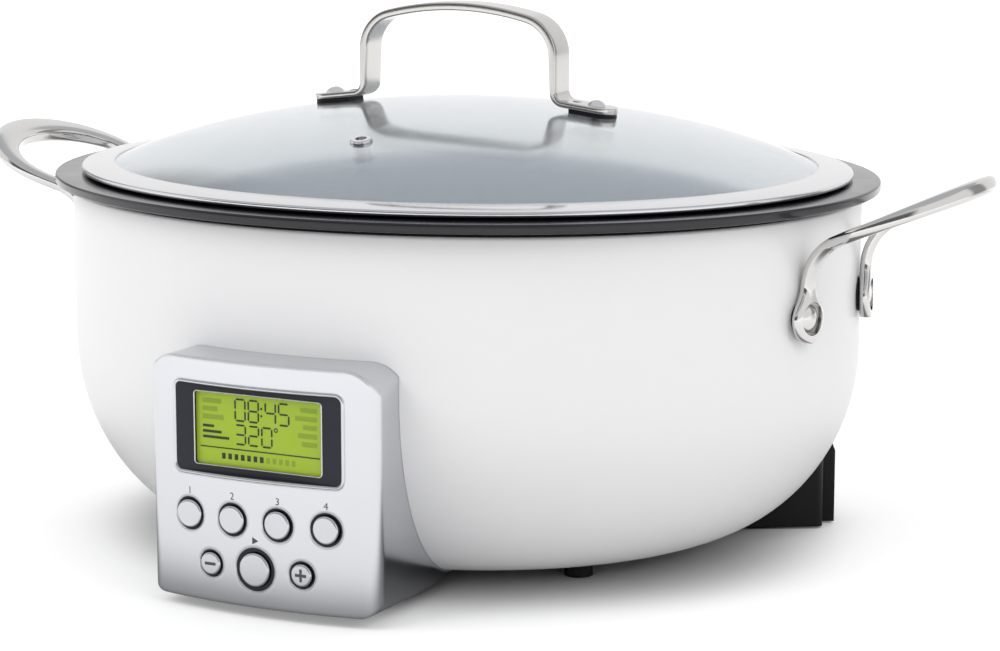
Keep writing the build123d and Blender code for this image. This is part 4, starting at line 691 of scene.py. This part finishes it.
barsOf = {"0": "abcdef", "2": "abdeg", "3": "abcdg", "4": "bcfg", "5": "acdfg", "8": "abcdefg"}


def lcdSpot(across, down):
    # a place on the display as shares of its width from the left and its height from the top
    return lcdLow[0] + across * lcdWidth, lcdHigh[2] - down * lcdHeight


def barOutline(x0, z0, x1, z1, stroke):
    # one bar with pointed ends, along X or Z
    half = stroke / 2
    if abs(x1 - x0) > abs(z1 - z0):
        return [(x0, z0), (x0 + half, z0 + half), (x1 - half, z1 + half), (x1, z1), (x1 - half, z1 - half),
                (x0 + half, z0 - half)]
    return [(x0, z0), (x0 - half, z0 + half), (x1 - half, z1 - half), (x1, z1), (x1 + half, z1 - half),
            (x0 + half, z0 + half)]


def digitBars(digit, x, z, width, height):
    # bars of one digit with its upper left corner at x, z
    stroke, gap = display["stroke"], display["gap"]
    left, right, high, middle, low = x, x + width, z, z - height / 2, z - height
    runs = {"a": (left, high, right, high), "g": (left, middle, right, middle), "d": (left, low, right, low),
            "f": (left, middle, left, high), "b": (right, middle, right, high),
            "e": (left, low, left, middle), "c": (right, low, right, middle)}
    bars = []
    for key in barsOf[digit]:
        x0, z0, x1, z1 = runs[key]
        if key in "agd":
            x0, x1 = x0 + gap, x1 - gap
        else:
            z0, z1 = z0 + gap, z1 - gap
        bars.append(barOutline(x0, z0, x1, z1, stroke))
    return bars


def slab(x, z, width, height):
    # upright rectangle with its upper left corner at x, z
    return [(x, z), (x + width, z), (x + width, z - height), (x, z - height)]


def ringOutlines(x, z, outer, inner, steps=20):
    # a flat ring as a chain of small quads
    def at(radius, i):
        turn = 2 * math.pi * i / steps
        return (x + radius * math.cos(turn), z + radius * math.sin(turn))
    return [[at(inner, i), at(outer, i), at(outer, i + 1), at(inner, i + 1)] for i in range(steps)]


flatSharp = 20  # sharp edge angle of printed and inlaid marks


def flatPiece(name, outlines, face, thick, finish, body, slotName):
    # thin plates on a face that looks along -Y, from outlines in mm; face gives the face's y at an x
    verts, faces = [], []
    for outline in outlines:
        first, count = len(verts), len(outline)
        verts += [(x * mm, face(x) * mm, z * mm) for x, z in outline]
        verts += [(x * mm, (face(x) - thick) * mm, z * mm) for x, z in outline]
        faces.append([first + i for i in range(count)])
        faces.append([first + count + i for i in range(count)])
        for i in range(count):
            j = (i + 1) % count
            faces.append([first + i, first + j, first + count + j, first + count + i])
    return addPiece(name, verts, faces, finish, body, slotName, (), flatSharp)


inkBars, ghostBars = [], []
digitWide, pitch = display["digitShare"] * lcdWidth, display["pitchShare"] * lcdWidth
timeHigh, heatHigh = display["timeShare"] * lcdHeight, display["heatShare"] * lcdHeight
x, z = lcdSpot(*display["timeAtShare"])
for i, digit in enumerate(display["timeDigits"]):
    inkBars += digitBars(digit, x, z, digitWide, timeHigh)
    x += pitch
    if i == display["colonAfter"]:
        dotSize = display["stroke"] * display["colonDot"]
        drops = [timeHigh * share for share in display["colonDropShare"]]
        inkBars += [slab(x - display["colonBack"], z - drop, dotSize, dotSize) for drop in drops]
        x += display["colonRunShare"] * lcdWidth
x, z = lcdSpot(*display["heatAtShare"])
for digit in display["heatDigits"]:
    inkBars += digitBars(digit, x, z, digitWide, heatHigh)
    x += pitch
degreeX, degreeZ = x + display["degreeRight"], z - display["degreeDown"]
inkBars += ringOutlines(degreeX, degreeZ, display["degreeOuter"], display["degreeInner"])
across, down = levels["atShare"]
for row, share in enumerate(levels["lengthShare"]):  # level bars beside the lower digits
    spotAt = lcdSpot(across, down + levels["pitchShare"] * row)
    inkBars.append(slab(*spotAt, share * lcdWidth, levels["high"]))
inkBars.append(slab(*lcdSpot(*rule["atShare"]), rule["lengthShare"] * lcdWidth, rule["high"]))
across, down = ticks["atShare"]
for i in range(ticks["count"]):  # row of ticks under the line, the first few lit
    tick = slab(*lcdSpot(across + ticks["pitchShare"] * i, down), ticks["wide"], ticks["high"])
    (inkBars if i < ticks["lit"] else ghostBars).append(tick)
for row, share in enumerate(unlit["rightShare"]):
    spotAt = lcdSpot(unlit["rightEdgeShare"] - share, unlit["topShare"] + unlit["rightPitchShare"] * row)
    ghostBars.append(slab(*spotAt, share * lcdWidth, unlit["high"]))
for row, share in enumerate(unlit["leftShare"]):
    spotAt = lcdSpot(unlit["leftEdgeShare"], unlit["topShare"] + unlit["leftPitchShare"] * row)
    ghostBars.append(slab(*spotAt, share * lcdWidth, unlit["high"]))


def flatFace(y):
    # a face that has the same y all over
    return lambda x: y


flatPiece("lcdDigits", inkBars, flatFace(lcdLow[1]), display["thick"], "lcdInk", "base", "lcd_green")
flatPiece("lcdUnlit", ghostBars, flatFace(lcdLow[1]), display["thick"] / 2, "lcdGhost", "base", "lcd_green")
print("display drawn:", len(inkBars), "bars")

# Control panel: lip round the bezel, printed digits and button marks
panel = {"curve": 230.0, "ink": 0.05, "digitHigh": 2.9, "digitLift": 9.6, "capShare": 0.7,
         "startLift": 11.7, "startBack": 1.2, "startAhead": 1.6, "startHalf": 1.5,
         "signReach": 2.53, "signWide": 1.1, "signDepth": 0.4, "inlayShare": 0.9}
panelReach = -boxMm("control_housing")[0][1]


def panelFace(x):
    # the bowed front's y at a place across it
    return panel["curve"] - panelReach - math.sqrt(panel["curve"] ** 2 - x * x)


def roundedLoop(low, high, radius, cornerSteps=8, runSteps=12):
    # closed outline of a rounded rectangle in X and Z, with points along its long runs
    corners = [(low[0], low[2]), (high[0], low[2]), (high[0], high[2]), (low[0], high[2])]
    points = []
    for i, corner in enumerate(corners):
        following, afterThat = [corners[(i + k) % 4] for k in (1, 2)]
        points += softCorner(corners[i - 1], corner, following, radius, cornerSteps)
        runEnd = softCorner(corner, following, afterThat, radius, cornerSteps)[0]
        points += [points[-1].lerp(runEnd, step / runSteps) for step in range(1, runSteps)]
    return points


bezelLip = {"corner": 3.5, "half": 0.75, "lift": -0.25}  # chrome bead round the bezel
frameLine = {"corner": 1.4, "half": 0.28, "lift": 0.1}  # fine line round the display
bead = {"steps": 16, "power": 2.2, "sharp": 60}


def lipRing(name, box, ring, face, slotName):
    # rounded bead that follows a box's front outline over a face
    path = [Vector((p.x, face(p.x) - ring["lift"], p.y)) for p in roundedLoop(*box, ring["corner"])]
    half = ring["half"] * mm
    stations = []
    for i, point in enumerate(path):
        along = (path[(i + 1) % len(path)] - path[i - 1]).normalized()
        across = along.cross(-sideways).normalized()
        stations.append((point * mm, across, across.cross(along).normalized(), half, half))
    beadMesh = sweepBar(stations, bead["steps"], bead["power"], True)
    addPiece(name, *beadMesh, "buttonChrome", "base", slotName, (), bead["sharp"])


bezelBox = boxMm("display_bezel")
lipRing("bezelLip", bezelBox, bezelLip, panelFace, "housing_silver")
lipRing("lcdFrameLine", (lcdLow, lcdHigh), frameLine, flatFace(bezelBox[0][1]), "bezel_dark")


def buttonCentre(node):
    # the x and z of a button's middle and the y of its face
    low, high = boxMm(node)
    return (low[0] + high[0]) / 2, (low[2] + high[2]) / 2, low[1]


def printedDigit(name, body, x, z):
    # a flat digit bent onto the bowed front
    curve = bpy.data.curves.new(name, "FONT")
    curve.body, curve.align_x = body, "CENTER"
    curve.size = panel["digitHigh"] / panel["capShare"] * mm
    text = bpy.data.objects.new(name, curve)
    flat = bpy.data.meshes.new_from_object(text)
    bpy.data.objects.remove(text)
    work = bmesh.new()
    work.from_mesh(flat)
    made = bmesh.ops.extrude_face_region(work, geom=work.faces[:])
    top = {v for v in made["geom"] if isinstance(v, bmesh.types.BMVert)}
    for vert in work.verts:
        across = vert.co.x / mm + x
        depth = panel["ink"] if vert in top else 0
        vert.co = Vector((across, panelFace(across) - depth, z + vert.co.y / mm)) * mm
    verts = [v.co.copy() for v in work.verts]
    work.verts.index_update()
    faces = [[v.index for v in f.verts] for f in work.faces]
    work.free()
    addPiece(name, verts, faces, "printInk", "base", "bezel_dark", (), flatSharp)


for number, word in enumerate(("one", "two", "three", "four"), 1):
    x, z, _ = buttonCentre(f"preset_button_{word}")
    printedDigit(f"presetDigit{number}", str(number), x, z + panel["digitLift"] - panel["digitHigh"] / 2)
x, z, _ = buttonCentre("start_button")
back, tipZ, half = x - panel["startBack"], z + panel["startLift"], panel["startHalf"]
triangle = [(back, tipZ + half), (x + panel["startAhead"], tipZ), (back, tipZ - half)]
flatPiece("startMark", [triangle], panelFace, panel["ink"], "printInk", "base", "bezel_dark")
for word in ("minus", "plus"):  # dark inlay in the sign's groove
    x, z, front = buttonCentre(f"{word}_button")
    reach, half = panel["signReach"], panel["signWide"] / 2
    bars = [slab(x - reach, z + half, 2 * reach, 2 * half)]
    if word == "plus":
        bars += [slab(x - half, top, 2 * half, reach - half) for top in (z + reach, z - half)]
    flatPiece(f"{word}Inlay", bars, flatFace(front + panel["signDepth"]),
              panel["signDepth"] * panel["inlayShare"], "printInk", f"{word}_button", "bezel_dark")
print("panel marked")

# Floor, lamps, world and camera
stage = {"floor": 6.0, "tone": 0.80, "driftScale": 1.5, "driftDetail": 2.0, "driftLow": 0.99,
         "driftSpread": 0.02, "lift": 0.24, "liftFrom": 0.135, "liftTo": 0.195, "farLift": 0.30,
         "farFrom": 0.25, "farTo": 1.6, "under": 0.5, "underFrom": 0.12, "underTo": 0.178,
         "nearDark": 0.76, "nearFrom": 0.195, "nearTo": 0.30,
         "patchDark": 0.5, "patchFrom": 0.6, "patchTo": 1.0, "patchTurn": 48, "patchInner": 16, "patchOuter": 28}
patchTurn = math.radians(stage["patchTurn"])  # where the painted dark patch that only mirrors see lies, back on the right
patchInner, patchOuter = [math.cos(math.radians(stage[key])) for key in ("patchInner", "patchOuter")]
floorMesh = bpy.data.meshes.new("studioFloor")
half = stage["floor"]
floorCorners = [(-half, -half, 0), (half, -half, 0), (half, half, 0), (-half, half, 0)]
floorMesh.from_pydata(floorCorners, [], [(0, 1, 2, 3)])
studioFloor = bpy.data.objects.new("studioFloor", floorMesh)
bpy.context.scene.collection.objects.link(studioFloor)


def rays(place, kind):
    path = place.tree.nodes.new("ShaderNodeLightPath")
    return Wire(place.tree, path.outputs[f"Is {kind} Ray"])


def seenRays(place):
    # 1 on rays that show the background: straight from the camera, mirrored or through glass
    camera, mirror, through = [rays(place, kind) for kind in ("Camera", "Glossy", "Transmission")]
    return camera.maths("MAXIMUM", camera, camera.maths("MAXIMUM", mirror, through))


black, white = (0, 0, 0), (1, 1, 1)


def paperFloor(place):
    # white sheet with a painted shadow close round the object; in mirrors it also shows painted shade close to
    # the object and a painted dark patch back on the right
    drift = place.noise(stage["driftScale"], stage["driftDetail"])
    oval = place.stretch(1, 1 / planShare, 0)
    distance = place.node("ShaderNodeVectorMath", {"operation": "LENGTH"}, {0: oval}, "Value")
    # painted shade in reflections: mirrored rays see the floor darker close to the object
    paintedMirrorShade = (1 - distance.between(stage["nearFrom"], stage["nearTo"])) * rays(place, "Glossy")
    x, y = [place.node("ShaderNodeSeparateXYZ", {}, {0: place}, axis) for axis in "XY"]
    # painted reflection: far out back on the right, mirrored rays see a dark patch on the white floor
    ahead = (x * math.cos(patchTurn) + y * math.sin(patchTurn)) / distance
    inDarkPatch = ahead.between(patchOuter, patchInner) * distance.between(stage["patchFrom"], stage["patchTo"])
    keep = (1 - stage["nearDark"] * paintedMirrorShade) * (1 - stage["patchDark"] * inDarkPatch * rays(place, "Glossy"))
    clear = distance.between(stage["underFrom"], stage["underTo"])  # past the painted close shadow round the object
    # painted shadow: camera rays see the floor's tone darker close round the object
    under = 1 - stage["under"] * (1 - clear) * rays(place, "Camera")
    tone = stage["tone"] * keep * under * (stage["driftLow"] + stage["driftSpread"] * drift)
    # painted shade too: the floor's glow fades out close to the object, so the floor there reads darker
    lift = stage["lift"] * distance.between(stage["liftFrom"], stage["liftTo"])
    lift = lift + stage["farLift"] * distance.between(stage["farFrom"], stage["farTo"])
    lift = seenRays(place) * lift * keep
    return {"Base Color": tone.tint(black, white), "Emission Color": lift.tint(black, white)}


floorMesh.materials.append(makeFinish("paperFloor", {"Roughness": 0.9, "Emission Strength": 1.0}, paperFloor))

# The world is white; mirrored rays also meet a dimmer, cooler ceiling and dark gaps between soft boxes
ceiling = {"dark": 0.38, "from": 0.54, "to": 0.60, "tint": (0.955, 0.988, 1.035)}
ambient = 0.75  # the world's light on the object
skyGaps = [
    {"azimuth": -95, "half": 52, "soft": 16, "dark": 0.86, "top": 0.28, "fade": 0.60},
    {"azimuth": 48, "half": 11, "soft": 8, "dark": 0.62, "top": 0.45, "fade": 0.75},
    {"azimuth": 150, "half": 12, "soft": 8, "dark": 0.60, "top": 0.45, "fade": 0.75},
]
world = bpy.data.worlds.new("studioWorld")
bpy.context.scene.world = world
world.use_nodes = True
sky = world.node_tree
skyPlace = Wire(sky, sky.nodes.new("ShaderNodeTexCoord").outputs["Generated"])
skyX, skyY, skyZ = [skyPlace.node("ShaderNodeSeparateXYZ", {}, {0: skyPlace}, axis) for axis in "XYZ"]
levelSquared = 1 - skyZ * skyZ
leastSquare = 0.0001  # keeps the division below clear of zero
level = levelSquared.maths("MAXIMUM", levelSquared, leastSquare) ** 0.5
bright = 1.0
for gap in skyGaps:
    turn = math.radians(gap["azimuth"])
    across = (skyX * math.cos(turn) + skyY * math.sin(turn)) / level
    inner, outer = [math.cos(math.radians(gap["half"] + side * gap["soft"] / 2)) for side in (-1, 1)]
    inGap = across.between(outer, inner) * (1 - skyZ.between(gap["top"], gap["fade"]))
    bright = bright * (1 - gap["dark"] * inGap)
overhead = skyZ.between(ceiling["from"], ceiling["to"])
bright = bright * (1 - ceiling["dark"] * overhead)
straight = seenRays(skyPlace) * (1 - rays(skyPlace, "Glossy"))
mirrored = rays(skyPlace, "Glossy") * bright
other = (1 - seenRays(skyPlace)) * ambient
strength = straight + mirrored + other
sky.links.new(strength.socket, sky.nodes["Background"].inputs["Strength"])
skyTint = (overhead * rays(skyPlace, "Glossy")).tint(white, ceiling["tint"])
sky.links.new(skyTint.socket, sky.nodes["Background"].inputs["Color"])

lamps = {
    "keyLamp": {"place": (-1.1, -1.3, 1.7), "size": 1.4, "watts": 18.5},
    "fillLamp": {"place": (1.6, -0.6, 1.3), "size": 1.2, "watts": 10},
    "backLamp": {"place": (0.2, 1.6, 1.8), "size": 1.6, "watts": 12},
}
lampAim = Vector((0, 0, 0.1))
for lampName, setting in lamps.items():
    light = bpy.data.lights.new(lampName, "AREA")
    light.size, light.energy = setting["size"], setting["watts"]
    lamp = bpy.data.objects.new(lampName, light)
    lamp.location = setting["place"]
    lamp.visible_glossy = False  # mirrors show the world's soft boxes instead
    lamp.rotation_euler = (lampAim - lamp.location).to_track_quat("-Z", "Y").to_euler()
    bpy.context.scene.collection.objects.link(lamp)

view = {"place": (0.61277, -1.16202, 0.32586), "turn": (79.8308, 0, 27.1045), "lens": 108, "sensor": 36}
camera = bpy.data.objects.new("photoCamera", bpy.data.cameras.new("photoCamera"))
camera.location = view["place"]
camera.rotation_euler = [math.radians(angle) for angle in view["turn"]]
camera.data.lens, camera.data.sensor_width = view["lens"], view["sensor"]
camera.data.sensor_fit = "HORIZONTAL"
bpy.context.scene.collection.objects.link(camera)
bpy.context.scene.camera = camera
bpy.context.scene.view_settings.view_transform = "Standard"
print("stage set")
